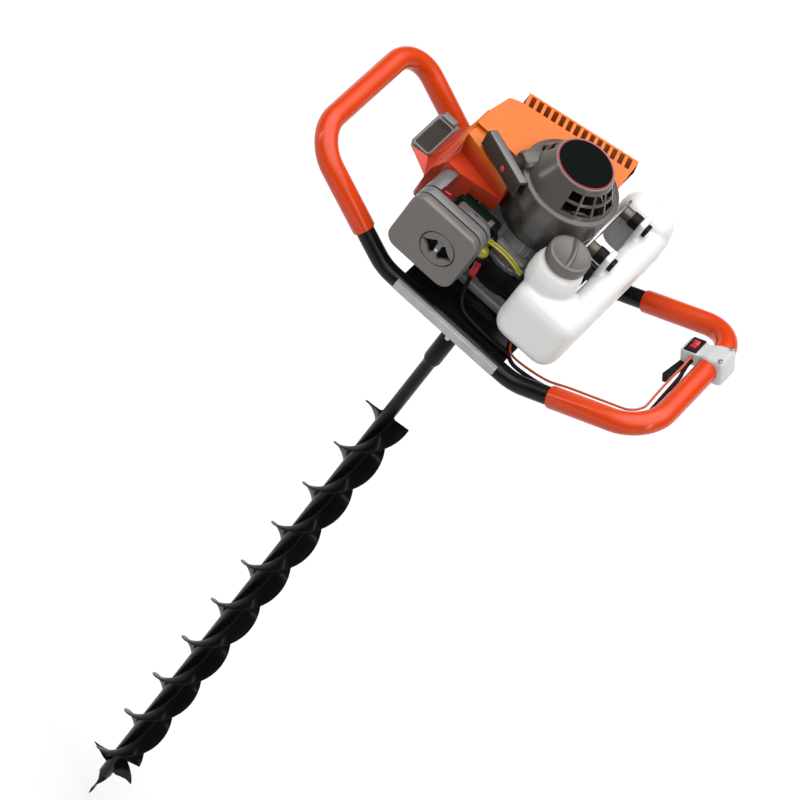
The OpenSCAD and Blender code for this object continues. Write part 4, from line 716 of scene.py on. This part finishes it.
# Along the bar: place, how far it draws back, and how far its outline is set in
BAR_SHAPE = ((BAR_HOLLOW - BAR_END, 0, BAR_SOFT), (-BAR_END, 0, BAR_SOFT), (-BAR_END, 0, 0.7),
             (0.8 - BAR_END, 0, 0), (-BAR_END / 2, 0.5, 0), (0, 0.7, 0), (BAR_END / 2, 0.5, 0),
             (BAR_END - 0.8, 0, 0), (BAR_END, 0, 0.7), (BAR_END, 0, BAR_SOFT),
             (BAR_END - BAR_HOLLOW, 0, BAR_SOFT))
STEM_SHAPE = ((0, HANDLE_R - 1.6), (0.8, HANDLE_R - 0.9), (6, HANDLE_R - 0.5), (HANDLE_STEM - 4, HANDLE_R),
              (HANDLE_STEM + 1, HANDLE_R + 1.2))
BADGE_R, BADGE_Z, BADGE_FOOT, DISC_IN = 35.5, 223.0, 219.6, 2.4
# Name, finish, how far inside the badge's edge it begins and ends, and how far below the badge it stays
BADGE_RINGS = (("badge_ring", "red_plastic", 2.3, 1.2, 0.2), ("badge_rim", "intake_gray", 1.1, -1, 0.9))
PULL = turn(ROPE_AZ, "Z") @ at(0, -ROPE_R, ROPE_Z)


def make_starter():
    """Starter cover: skirt, flat rim and a cone with two rows of windows, closed where the rope comes out."""
    bm = bmesh.new()
    step = 360 / GRILLE_N
    cols = []
    for i in range(GRILLE_N):
        off = i - GRILLE_N / 2 + 0.5
        mid = ROPE_AZ + 180 + off * 360 / GRILLE_N
        pierced = abs(off) < GRILLE_N / 2 - CLOSED_PITCHES
        cols += [(k, mid, pierced) for k in range(6)]
    rows = []
    for j, (r, z) in enumerate(STARTER_PROFILE):
        half = WINDOW_HALF.get(j, PLAIN_HALF)
        marks = [-0.5, -half, -half / 3, half / 3, half, (half + 0.5) / 2]
        row = []
        for k, mid, pierced in cols:
            a = math.radians(mid + step * marks[k])
            row.append(bm.verts.new((r * math.cos(a), r * math.sin(a), z)))
        rows.append(row)
    for j in range(len(STARTER_PROFILE) - 1):
        for c, (k, mid, pierced) in enumerate(cols):
            if j in WINDOW_ROWS and pierced and k in (1, 2, 3):
                continue
            d = (c + 1) % len(cols)
            bm.faces.new((rows[j][c], rows[j][d], rows[j + 1][d], rows[j + 1][c]))
    cone = thick(bm, STARTER_WALL, 0.4)
    rings = []
    b = BOSS_CORNER
    for x, w, low, high in BOSS_SHAPE:
        rings.append([(x, -w, low + b), (x, -w + b, low), (x, w - b, low), (x, w, low + b),
                      (x, w, high - b), (x, w - b, high), (x, -w + b, high), (x, -w, high - b)])
    boss = rounded(moved(loft(rings), PULL), 0.9, 2, 14)
    piece("starter_skin", join(cone, boss), "starter_gray", nodes=("starter_housing",), sharp=28)
    edge = BADGE_R - DISC_IN
    disc = lathe([(0, BADGE_FOOT), (edge, BADGE_FOOT), (edge, BADGE_Z - 0.4), (edge - 0.4, BADGE_Z),
                  (edge - 1.2, BADGE_Z + 0.1), (0, BADGE_Z + 0.1)], 96)
    piece("badge_skin", disc, "badge_black", nodes=("starter_badge",))
    for name, finish, inner, outer, below in BADGE_RINGS:
        r0, r1 = BADGE_R - inner, BADGE_R - outer
        foot, top = BADGE_FOOT + 0.6, BADGE_Z - below
        ring = ring_lathe([(r0, foot), (r1, foot), (r1, top - 0.5), (r1 - 0.3, top), (r0 + 0.3, top),
                           (r0, top - 0.5)], 96)
        piece(name, ring, finish)


def make_handle():
    """Pull handle: round stem and a hollow-ended bar with a pale strip along its top, a painted highlight."""
    stem = []
    n = 32
    for x, r in STEM_SHAPE:
        stem.append([(PULL_AT + x, r * math.cos(2 * math.pi * k / n), r * math.sin(2 * math.pi * k / n))
                     for k in range(n)])
    x0 = PULL_AT + HANDLE_STEM
    middle = x0 + BAR_DEEP / 2
    bar = []
    for y, back, inset in BAR_SHAPE:
        outline = round_rect(BAR_DEEP - 2 * inset, BAR_HIGH - 2 * inset, max(0.8, BAR_SOFT - inset), 4)
        bar.append([(middle + u - back, y, v) for u, v in outline])
    place = PULL @ turn(HANDLE_TILT, "X")
    whole = join(loft(stem), loft(bar))
    piece("handle_skin", moved(whole, place), "handle_taupe", "pull", ("starter_handle",), sharp=40)
    # The pale strip is a painted highlight: the lit top of the bar drawn as a lighter inlay
    outline = round_rect(10, BAR_LONG - 3, 2, 4)
    highlight_strip = [[(middle + u * across, v * along, BAR_HIGH / 2 + up) for u, v in outline]
             for across, along, up in ((1, 1, -0.6), (1, 1, 0.2), (0.9, 0.99, 0.5))]
    piece("handle_highlight_strip", moved(loft(highlight_strip), place), "intake_gray", "pull")
    dot = moved(lathe([(0, -0.6), (3.6, -0.6), (3.6, 0.3), (3.2, 0.6), (0, 0.7)], 32),
                place @ at(x0 + BAR_DEEP, DOT_Y, 0) @ turn(90, "Y"))
    piece("handle_dot", dot, "red_plastic", "pull")


# Air filter

FILTER_X, FILTER_Z, FILTER_W, FILTER_H, FILTER_R = -71.0, 88.0, 94.0, 88.0, 16.0
COVER_FRONT, COVER_BACK, COVER_EDGE, COWL_FRONT, SEAM = -122.0, -109.0, 4.5, -92.0, 2.0
KNOB_X, KNOB_Z, DISH_R, DISH_T = -61.0, 87.0, 23.0, 6.0
KNOB_R, KNOB_T, POCKET_FLOOR = DISH_R - 1.1, DISH_T - 0.5, 1.4
POCKET = ((2.4, 5.4), (4.6, 11.2), (6.4, 11.6), (10.5, 7.4), (15.5, 3.4), (KNOB_R - 0.8, 0.7),
          (KNOB_R - 0.8, -0.7), (15.5, -3.4), (10.5, -7.4), (6.4, -11.6), (4.6, -11.2), (2.4, -5.4))
# Along the ridge between the pockets: place, half width and height
RIDGE = ((-4, 1.6, 0.2), (-2, 2.4, 1.4), (2, 2.8, 1.9), (6, 2.6, 1.9), (10, 2.2, 1.7), (13, 1.6, 0.2))


def upright(outline, y):
    return [(FILTER_X + u, y, FILTER_Z + v) for u, v in outline]


def make_filter():
    """Cover with a rounded front edge, a seam groove and a round dish for its knob."""
    steps = 10
    rings = [upright(round_rect(FILTER_W - 0.8, FILTER_H - 0.8, FILTER_R - 0.4, steps), COVER_BACK),
             upright(round_rect(FILTER_W, FILTER_H, FILTER_R, steps), COVER_BACK - 0.7)]
    for k in range(7):
        a = math.pi / 2 * k / 6
        inset = COVER_EDGE * (1 - math.cos(a))
        outline = round_rect(FILTER_W - 2 * inset, FILTER_H - 2 * inset, FILTER_R - inset * 0.5, steps)
        rings.append(upright(outline, COVER_FRONT + COVER_EDGE * (1 - math.sin(a))))
    shell = loft(rings)
    dish = lathe([(0, -4), (DISH_R + 0.8, -4), (DISH_R + 0.8, 0), (DISH_R, 0.9), (DISH_R - 0.6, DISH_T - 1.2),
                  (DISH_R - 2.4, DISH_T), (0, DISH_T)], 64)
    dish = moved(dish, at(KNOB_X, COVER_FRONT, KNOB_Z) @ turn(-90, "X"))
    piece("cover_skin", cut(shell, dish), "filter_taupe", "cover", ("filter_cover",))
    for node, width in (("filter_base", 0.9), ("carb_cowl", 1.2)):
        soft_copy(node, "intake_gray", width=width, steps=3)
    seals = []
    for y in (COVER_BACK, COWL_FRONT - SEAM):
        outer = round_rect(FILTER_W - 1.6, FILTER_H - 1.6, FILTER_R - 0.8, steps)
        inner = round_rect(FILTER_W - 9, FILTER_H - 9, FILTER_R - 4, steps)
        back = y + SEAM
        rings = [upright(outer, y), upright(outer, back), upright(inner, back), upright(inner, y)]
        seals.append(loft(rings, closed=True))
    piece("filter_seals", join(*seals), "black_rubber")


def make_knob():
    """Round knob, level with the cover, with two pointed finger pockets and a bright hub. The pockets' floors
    are painted black as shade.
    """
    r, t = KNOB_R, KNOB_T
    disc = lathe([(0, 0), (r - 0.4, 0), (r, 0.5), (r, t - 0.9), (r - 0.9, t), (0, t)], 64)
    pockets = [moved(prism(POCKET, POCKET_FLOOR, t + 3), turn(side, "Z")) for side in (0, 180)]
    knob = cut(disc, join(*pockets))
    ridge = []
    for y, half, high in RIDGE:
        ridge.append([(-half - 0.7, y, t - 0.6), (half + 0.7, y, t - 0.6), (half, y, t + high * 0.7),
                      (half * 0.4, y, t + high), (-half * 0.4, y, t + high), (-half, y, t + high * 0.7)])
    shaft = lathe([(0, -14), (3.8, -14), (3.8, 1), (0, 1)], 24)
    place = at(KNOB_X, COVER_FRONT + DISH_T - 0.2, KNOB_Z) @ turn(90, "X")
    knob = moved(join(knob, loft(ridge), shaft), place)
    piece("knob_skin", knob, "filter_taupe", "knob", ("filter_knob",), sharp=38)
    # Black floors in the pockets: painted shade, the dark of the deep pockets
    shade_outline = [(u * 0.98, v * 0.96) for u, v in POCKET]
    shade_floors = [moved(prism(shade_outline, POCKET_FLOOR - 0.4, POCKET_FLOOR + 0.25), turn(side, "Z"))
              for side in (0, 180)]
    piece("knob_pocket_shade", moved(join(*shade_floors), place), "badge_black", "knob")
    hub = lathe([(0, t - 0.5), (2.2, t - 0.5), (2.2, t + 1.8), (1.7, t + 2.2), (0, t + 2.3)], 32)
    piece("knob_hub", moved(hub, place), "switch_silver", "knob")


# Covers

SHROUD_TOP, SHROUD_STEP, STARTER_CLEAR = 172.0, 167.0, 62.0
SLOT_N, SLOT_PITCH, SLOT_W, SLOT_LOW, SLOT_HIGH, RIM_V, SLOT_U0 = 14, 9.9, 6.0, 84.0, 101.6, 104.4, -80.0
COMB_A = math.radians(14)
LIP_H, BEAD_R, SHROUD_WALL, SHELF_Z, SKIRT_Z = 22.0, 1.1, 2.4, 136, 54
LID_Z, LID_X, LID_Y = 103.0, -155.0, -5.0
PLUG_X, PLUG_Y, PLUG_W, PLUG_L, PLUG_R = -151.4, 1, 36, 70, 7
# Taper, inset and height of the plug cover's sections, and inset and height of its frame's
PLUG_SKIN = ((20, 0, 73), (1.6, 0, 93), (0, 0, LID_Z - 4), (0, 0.6, LID_Z - 2.4), (0, 1.8, LID_Z - 1.6))
PLUG_FRAME = ((0, -2), (0, 0.6), (0.8, 1.4), (2.2, 1.4), (2.8, 0.9), (3.0, -0.2))


def comb(u, v, z=SHROUD_TOP):
    """Point of the top plate, u along the slotted back edge and v across it."""
    return (u * math.cos(COMB_A) - v * math.sin(COMB_A), u * math.sin(COMB_A) + v * math.cos(COMB_A), z)


def sheet_of(*faces):
    bm = bmesh.new()
    for points in faces:
        bm.faces.new([bm.verts.new(p) for p in points])
    return bm


def make_shroud():
    """Folded cowl: slotted top plate, sunk step, front wall, shelf and the facets round the plug cover."""
    top = SHROUD_TOP
    left_u, right_u = -84.2, 62.0
    edges = []
    for i in range(SLOT_N):
        edges += [SLOT_U0 + i * SLOT_PITCH, SLOT_U0 + i * SLOT_PITCH + SLOT_W]
    marks = [left_u] + edges + [right_u]
    ring = [(STARTER_CLEAR * math.cos(math.radians(a)), STARTER_CLEAR * math.sin(math.radians(a)), top)
            for a in range(50, 198, 7)]
    crease = [(-59, -19, top), (-65, -11.4, top), (-109, -13, top), (-124.5, -13, top)]
    left = [(-124.7, 13, top), (-119.2, 52, top), (-110, 58, top)]
    front = [comb(u, SLOT_LOW) for u in marks]
    faces = [crease + left + front + [(40, 65, top)] + ring]
    for a, b in zip(marks[0::2], marks[1::2]):
        faces.append([comb(a, SLOT_LOW), comb(a, SLOT_HIGH), comb(b, SLOT_HIGH), comb(b, SLOT_LOW)])
    faces.append([comb(u, SLOT_HIGH) for u in marks] + [comb(u, RIM_V) for u in (right_u, left_u)])
    low = top - LIP_H
    faces.append([comb(left_u, RIM_V), comb(right_u, RIM_V), comb(right_u, RIM_V, low),
                  comb(left_u, RIM_V, low)])
    faces.append([comb(right_u, RIM_V), comb(right_u, SLOT_HIGH), comb(right_u, SLOT_LOW), (40, 65, top),
                  (40, 65, low), comb(right_u, RIM_V, low)])
    step = SHROUD_STEP
    sunk = [(x, y + dy, step) for (x, y, z), dy in zip(crease, (0, 2, 2, 2.5))]
    edge_l, edge_r = (-122.6, -30.6, step), (-50, -52, step)
    for k in range(3):
        faces.append([crease[k], crease[k + 1], sunk[k + 1], sunk[k]])
    faces.append(sunk + [edge_l, edge_r])
    foot_l, foot_r = (-117.3, -28.2, SHELF_Z), (-46, -44.5, SHELF_Z)
    faces.append([edge_l, edge_r, foot_r, foot_l])
    shelf = [(-119.3, -55, SHELF_Z), (-99, -56, SHELF_Z), (-80, -52, SHELF_Z)]
    faces.append([foot_l, foot_r] + shelf[::-1])
    skirt = [(x, y + 8, SKIRT_Z) for x, y, z in shelf]
    heel = (-128, -47, SKIRT_Z)
    side_f = (-131, -45, 100)
    faces.append([shelf[0], shelf[1], skirt[1], skirt[0]])
    faces.append([shelf[1], shelf[2], skirt[2], skirt[1]])
    faces.append([shelf[2], foot_r, (foot_r[0], foot_r[1] + 4, 112), (-80, -46, 112)])
    front_l = (-129, -63, 117)
    waist_f, waist_b, waist_t = (-131.5, -42, 131), (-131.5, 20, 130), (-127, 46, 130)
    lip_f, lip_b, lip_t = (-142, -35.5, LID_Z), (-142, 26, LID_Z), (-135, 45, LID_Z)
    nose, lobe = (-164, -38, LID_Z - 2), (-130, -58, 98)
    faces.append([crease[3], edge_l, foot_l, shelf[0], front_l])
    faces.append([crease[3], left[0], waist_b, waist_f])
    faces.append([crease[3], waist_f, front_l])
    faces.append([left[0], left[1], waist_t, waist_b])
    faces.append([left[1], left[2], (-112, 56, 140), waist_t])
    faces.append([waist_f, waist_b, lip_b, lip_f])
    faces.append([waist_b, waist_t, lip_t, lip_b])
    faces.append([waist_f, lip_f, lobe, front_l])
    faces.append([lip_f, nose, lobe])
    faces.append([front_l, shelf[0], skirt[0], heel, lobe])
    faces.append([(-131, -45, 56), (-131, 45, 56), (-131, 45, 100), side_f])
    faces.append([lobe, heel, (-131, -45, 56), side_f])
    ridges = ((crease[3], front_l, lobe), (crease[3], waist_f, lip_f),
              (left[0], crease[3], sunk[3], edge_l, shelf[0]))
    beads = [sweep(line, BEAD_R, 8) for line in ridges]
    skin = join(thick(sheet_of(*faces), SHROUD_WALL, 0.7), *beads)
    piece("shroud_skin", skin, "shroud_orange", nodes=("shroud",), sharp=25)


def make_plug_cover():
    """Lid over the spark plug: a rounded frame with a sunk dark panel and a pale block at its far end."""
    rings = []
    for taper, inset, z in PLUG_SKIN:
        shape = round_rect(PLUG_W - taper - 2 * inset, PLUG_L - taper - 2 * inset, PLUG_R - inset * 0.7, 6)
        rings.append([(PLUG_X + taper / 2 + u, PLUG_Y + v, z) for u, v in shape])
    piece("plug_cover_skin", loft(rings), "cover_gray", nodes=("plug_cover",))
    rings = []
    for inset, z in PLUG_FRAME:
        shape = round_rect(26 - 2 * inset, 61 - 2 * inset, 6 - inset * 0.8, 6)
        rings.append([(LID_X + u, LID_Y + v, LID_Z + z) for u, v in shape])
    piece("plug_frame", loft(rings), "intake_gray")
    panel = round_rect(19.6, 54.6, 3.4, 5)
    rings = [[(LID_X + u * s, LID_Y + v * s, LID_Z + z) for u, v in panel]
             for s, z in ((1, -0.6), (1, 0.2), (0.97, 0.6), (0.6, 0.7))]
    piece("plug_panel", loft(rings), "handle_taupe")
    far = soft_box(LID_X - 10, LID_X + 9, LID_Y + 30.5, LID_Y + 41, LID_Z - 4, LID_Z + 4.4, 1.8, 3)
    piece("plug_block", far, "intake_gray")


# Controls

CABLE_R, LEAD_R, FUEL_R, LAY_IN, LAY_OUT = 2.5, 1.5, 1.5, 19.1, 24.6
BOOT_R, BOOT_END_R = 4.2, 3.2
# From the foot of the right loop on: over the deck and up to the carburettor, or up to the engine
CABLE_DECK = [(88, -93, 4), (70, -94, 12), (45, -95, 12), (20.25, -94, 12), (0, -90, 14), (-11, -81.5, 24),
              (-18, -69.5, 45), (-21, -61.5, 66), (-21, -60.5, 86), (-22, -60.5, 100), (-26, -60.5, 107.8),
              (-31, -60.5, 110.8), (-37, -60.5, 110.8)]
LEADS_DECK = [(88, -87, 8), (72, -87, 11), (64, -72, 11), (60, -62, 12), (56, -54, 20), (50, -44, 40),
              (46, -38, 70), (42, -37, 100), (36, -36, 114), (32, -35, 122)]
BOOT_LINE = ((-17.4, -70.6, 43), (-18.6, -67.8, 49), (-20.4, -63.6, 60))
# Fuel lines: share of the way from the carburettor to the tank, and how far aside and above they lie
FUEL_X, FUEL_SPAN, FUEL_Y, FUEL_Z, FUEL_APART, FUEL_LEAN = -36, 64, -74, 100, 2.7, 0.4
FUEL_SAG = ((0, 0, 3), (0.12, 0, 4.5), (0.25, 0, 6), (0.41, -0.5, 7.5), (0.6, -1, 7.5), (0.78, -1, 5),
            (0.9, -0.5, 1.5), (1, 0, 0))


def corner_line(near, z):
    """Round the inside of the right loop's front corner, near from the tube's centre-line."""
    r = CORNER_R - near
    inner = FRAME_HALF_D - CORNER_R
    angles = [math.radians(a) for a in range(0, 91, 18)]
    return [on_bar(r * math.cos(a) - CORNER_R, -inner - r * math.sin(a), z) for a in angles]


def arm_line(near, z):
    """Down the right loop's front arm."""
    places = ((0.5, 0), (0.34, 0), (0.17, 1))
    return [on_loop(share * ARM_L, near - off - FRAME_HALF_D, z) for share, off in places]


def make_cords():
    """Throttle cable, stop leads and fuel lines as smooth tubes along the solids' own routes."""
    cable = [on_bar(-21, 32, 4), on_bar(-21, 22, 4), on_bar(-20.1, 10, 2), on_bar(-LAY_IN, 0, 0),
             on_bar(-LAY_IN, -32.5, -2)] + corner_line(LAY_IN, -4) + arm_line(LAY_IN, -4)
    cable += CABLE_DECK
    piece("cable_skin", sweep(smooth_path(cable, 6), CABLE_R, 16), "black_rubber", nodes=("throttle_cable",))
    boot = smooth_path(BOOT_LINE, 5)
    swell = [BOOT_END_R] + [BOOT_R] * (len(boot) - 2) + [BOOT_END_R]
    piece("cable_boot", sweep(boot, swell, 16), "red_plastic")
    leads = [on_bar(-21, 32, 10), on_bar(-21, 21, 10), on_bar(-21.5, 10, 8), on_bar(-23.6, 0, 5),
             on_bar(-LAY_OUT, -32.5, 3)] + corner_line(LAY_OUT, 1) + arm_line(LAY_OUT, 1)
    leads += LEADS_DECK
    piece("leads_skin", sweep(smooth_path(leads, 6), LEAD_R, 12), "lead_red", nodes=("switch_leads",))
    lines = []
    for side in (1, -1):
        path = [(FUEL_X + FUEL_SPAN * f, FUEL_Y + dy + FUEL_APART * side, FUEL_Z + dz - FUEL_LEAN * side)
                for f, dy, dz in FUEL_SAG]
        lines.append(sweep(smooth_path(path, 6), FUEL_R, 14))
    piece("fuel_skin", join(*lines), "fuel_yellow", nodes=("fuel_lines",))


SWITCH_Y = 46.0
# Across the bar, outward: place, half width, bottom, top and corner of the housing's sections
SWITCH_SHAPE = ((-37, 10, 0, 12.6, 2), (-36, 12.8, -1.4, 14.4, 2), (-34, 14.2, -2, 15, 2),
                (-15.6, 14.2, -3, 15, 2), (-12, 12.6, -10, 15.2, 4), (-6, 14.4, -15, 16.4, 5),
                (2, 17.4, -16.6, 17, 5), (12, 17.6, -16.6, 17, 5), (17.2, 17.6, -15.6, 17, 5),
                (19.2, 16.4, -13, 15, 5), (20.4, 13, -8, 11, 5))
# The rocker, from its pivot
ROCKER_X, ROCKER_Z, ROCKER_HALF, ROCKER_W = -24.5, 11.0, 6.9, 3.9
ROCKER_FOOT, ROCKER_TOP, ROCKER_DISH, ROCKER_DIP = 1.6, 7.5, 4.5, 1.9


def make_switch():
    """Pale rounded housing, a head for the rocker and a clamp round the sleeve, and the rocker."""
    rings = []
    for x, half, low, high, soft in SWITCH_SHAPE:
        shape = round_rect(2 * half, high - low, soft, 6)
        rings.append([on_bar(x, SWITCH_Y + u, (low + high) / 2 + v) for u, v in shape])
    piece("switch_skin", loft(rings), "switch_silver", nodes=("switch_housing",), sharp=40)
    dish = [(ROCKER_DISH * k / 6, ROCKER_TOP - ROCKER_DIP * (1 - (k / 6) ** 2)) for k in range(6, -7, -1)]
    side = [(-ROCKER_HALF, ROCKER_FOOT), (ROCKER_HALF, ROCKER_FOOT), (ROCKER_HALF, ROCKER_TOP)]
    side += dish + [(-ROCKER_HALF, ROCKER_TOP)]
    rings = [[on_bar(ROCKER_X + u, SWITCH_Y + y, ROCKER_Z + z) for y, z in side]
             for u in (-ROCKER_W, ROCKER_W)]
    piece("kill_rocker_skin", rounded(loft(rings), 0.5), "red_plastic", "rocker", ("kill_rocker",))


# Crankcase

RIB_N, RIB_FROM, RIB_STEP, RIB_IN, RIB_OUT, RIB_T = 8, -82, 11, 43.0, 46.6, 2.6
RIB_LOW, RIB_HIGH, HOOP_Z, HOOP_EDGE = 58, 118, (64, 112), 0.8


def make_ribs():
    """Cast ribs on the front of the crankcase, the two hoops that join them, and the flange at its foot."""
    ribs = []
    for k in range(RIB_N):
        rib = rounded(block(RIB_IN, RIB_OUT, -RIB_T / 2, RIB_T / 2, RIB_LOW, RIB_HIGH), 0.6, 2)
        ribs.append(moved(rib, turn(RIB_FROM + k * RIB_STEP, "Z")))
    rim = RIB_OUT - HOOP_EDGE
    for z in HOOP_Z:
        ribs.append(ring_lathe([(RIB_IN, z - 2), (rim, z - 2), (RIB_OUT, z - 1.2), (RIB_OUT, z + 1.2),
                                (rim, z + 2), (RIB_IN, z + 2)], 72))
    piece("case_ribs", join(*ribs), "cast_alloy")
    piece("case_flange", rounded(block(-53, 53, -55.4, -53.6, 9.5, 19.4), 0.6, 2), "rail_alloy")


# The rest

# Solids that show as they are but for their edges, and how far those are rounded
SOFT = (("deck_plate", 1.2), ("mount_rails", 1.0), ("lower_gear_case", 1.4), ("upper_gear_case", 1.4),
        ("case_bolts", 0.6), ("clutch_housing", 1.2), ("crankcase", 1.0), ("cylinder_block", 0.5),
        ("muffler", 2.0), ("insulator", 0.8), ("carburettor", 0.8), ("fan_housing", 1.2),
        ("tank_bracket", 0.8), ("tank_grommet", 0.8), ("switch_bezel", 0.5), ("throttle_trigger", 1.4),
        ("choke_lever", 0.8), ("primer_bulb", 0.8), ("cross_pin", 0.6), ("housing_screws", 0.4))


def dress_rest():
    """Rounded copies of the remaining solids that show, and a finish for every solid."""
    for part in frame["record"]["subparts"]:
        mesh = frame["nodes"][part["node"]].data
        mesh.materials.clear()
        mesh.materials.append(MATERIAL[part["material_slot"]])
    for node, width in SOFT:
        finish = next(p["material_slot"] for p in frame["record"]["subparts"] if p["node"] == node)
        body = next(b for b, nodes in frame["record"]["behaviour"]["bodies"].items() if node in nodes)
        soft_copy(node, finish, body, width)


# Stage

FLOOR_HALF, FLOOR_DROP, LAMP_AIM = 30, 0.001, (0, 0, 1.1)
# The sky's strength: dim up to the first height of a direction, bright from the second
SKY = (("From Min", 0.42), ("From Max", 0.9), ("To Min", 0.12), ("To Max", 3.7))
LIGHTS = (("side", (-3.6, -1.6, 2.4), (0.5, 2.6), 26), ("right", (3.4, -1.4, 2.6), (0.6, 2.4), 26))


def add_stage():
    """Pale floor that the pilot tip just meets, and a soft studio light."""
    bm = bmesh.new()
    bmesh.ops.create_grid(bm, x_segments=1, y_segments=1, size=FLOOR_HALF)
    mesh = bpy.data.meshes.new("floor")
    bm.to_mesh(mesh)
    bm.free()
    floor = bpy.data.objects.new("floor", mesh)
    floor.location.z = -FLOOR_DROP
    bpy.context.scene.collection.objects.link(floor)
    finish = dull(Finish("floor_white", (0.5, 0.5, 0.5), 0.8).mottle(3, 0.01))
    mesh.materials.append(finish.mat)
    world = bpy.data.worlds.new("studio")
    world.use_nodes = True
    tree = world.node_tree
    sky = tree.nodes["Background"]
    sky.inputs["Color"].default_value = (1, 1, 1, 1)
    ways = tree.nodes.new("ShaderNodeTexCoord")
    split = tree.nodes.new("ShaderNodeSeparateXYZ")
    fade = tree.nodes.new("ShaderNodeMapRange")
    fade.interpolation_type = "SMOOTHSTEP"
    for key, value in SKY:
        fade.inputs[key].default_value = value
    tree.links.new(ways.outputs["Generated"], split.inputs["Vector"])
    tree.links.new(split.outputs["Z"], fade.inputs["Value"])
    tree.links.new(fade.outputs["Result"], sky.inputs["Strength"])
    bpy.context.scene.world = world
    bpy.context.scene.view_settings.view_transform = "Standard"
    for name, place, size, power in LIGHTS:
        data = bpy.data.lights.new(name, "AREA")
        data.shape = "RECTANGLE"
        data.size, data.size_y = size
        data.energy = power
        lamp = bpy.data.objects.new(name, data)
        lamp.location = place
        lamp.rotation_euler = (Vector(LAMP_AIM) - Vector(place)).to_track_quat("-Z", "Y").to_euler()
        bpy.context.scene.collection.objects.link(lamp)


def main():
    make_finishes()
    add_camera()
    add_stage()
    dress_rest()
    make_frame()
    make_bit()
    make_tank()
    make_cap()
    make_tank_mounts()
    make_starter()
    make_handle()
    make_filter()
    make_knob()
    make_shroud()
    make_plug_cover()
    make_cords()
    make_switch()
    make_ribs()


main()
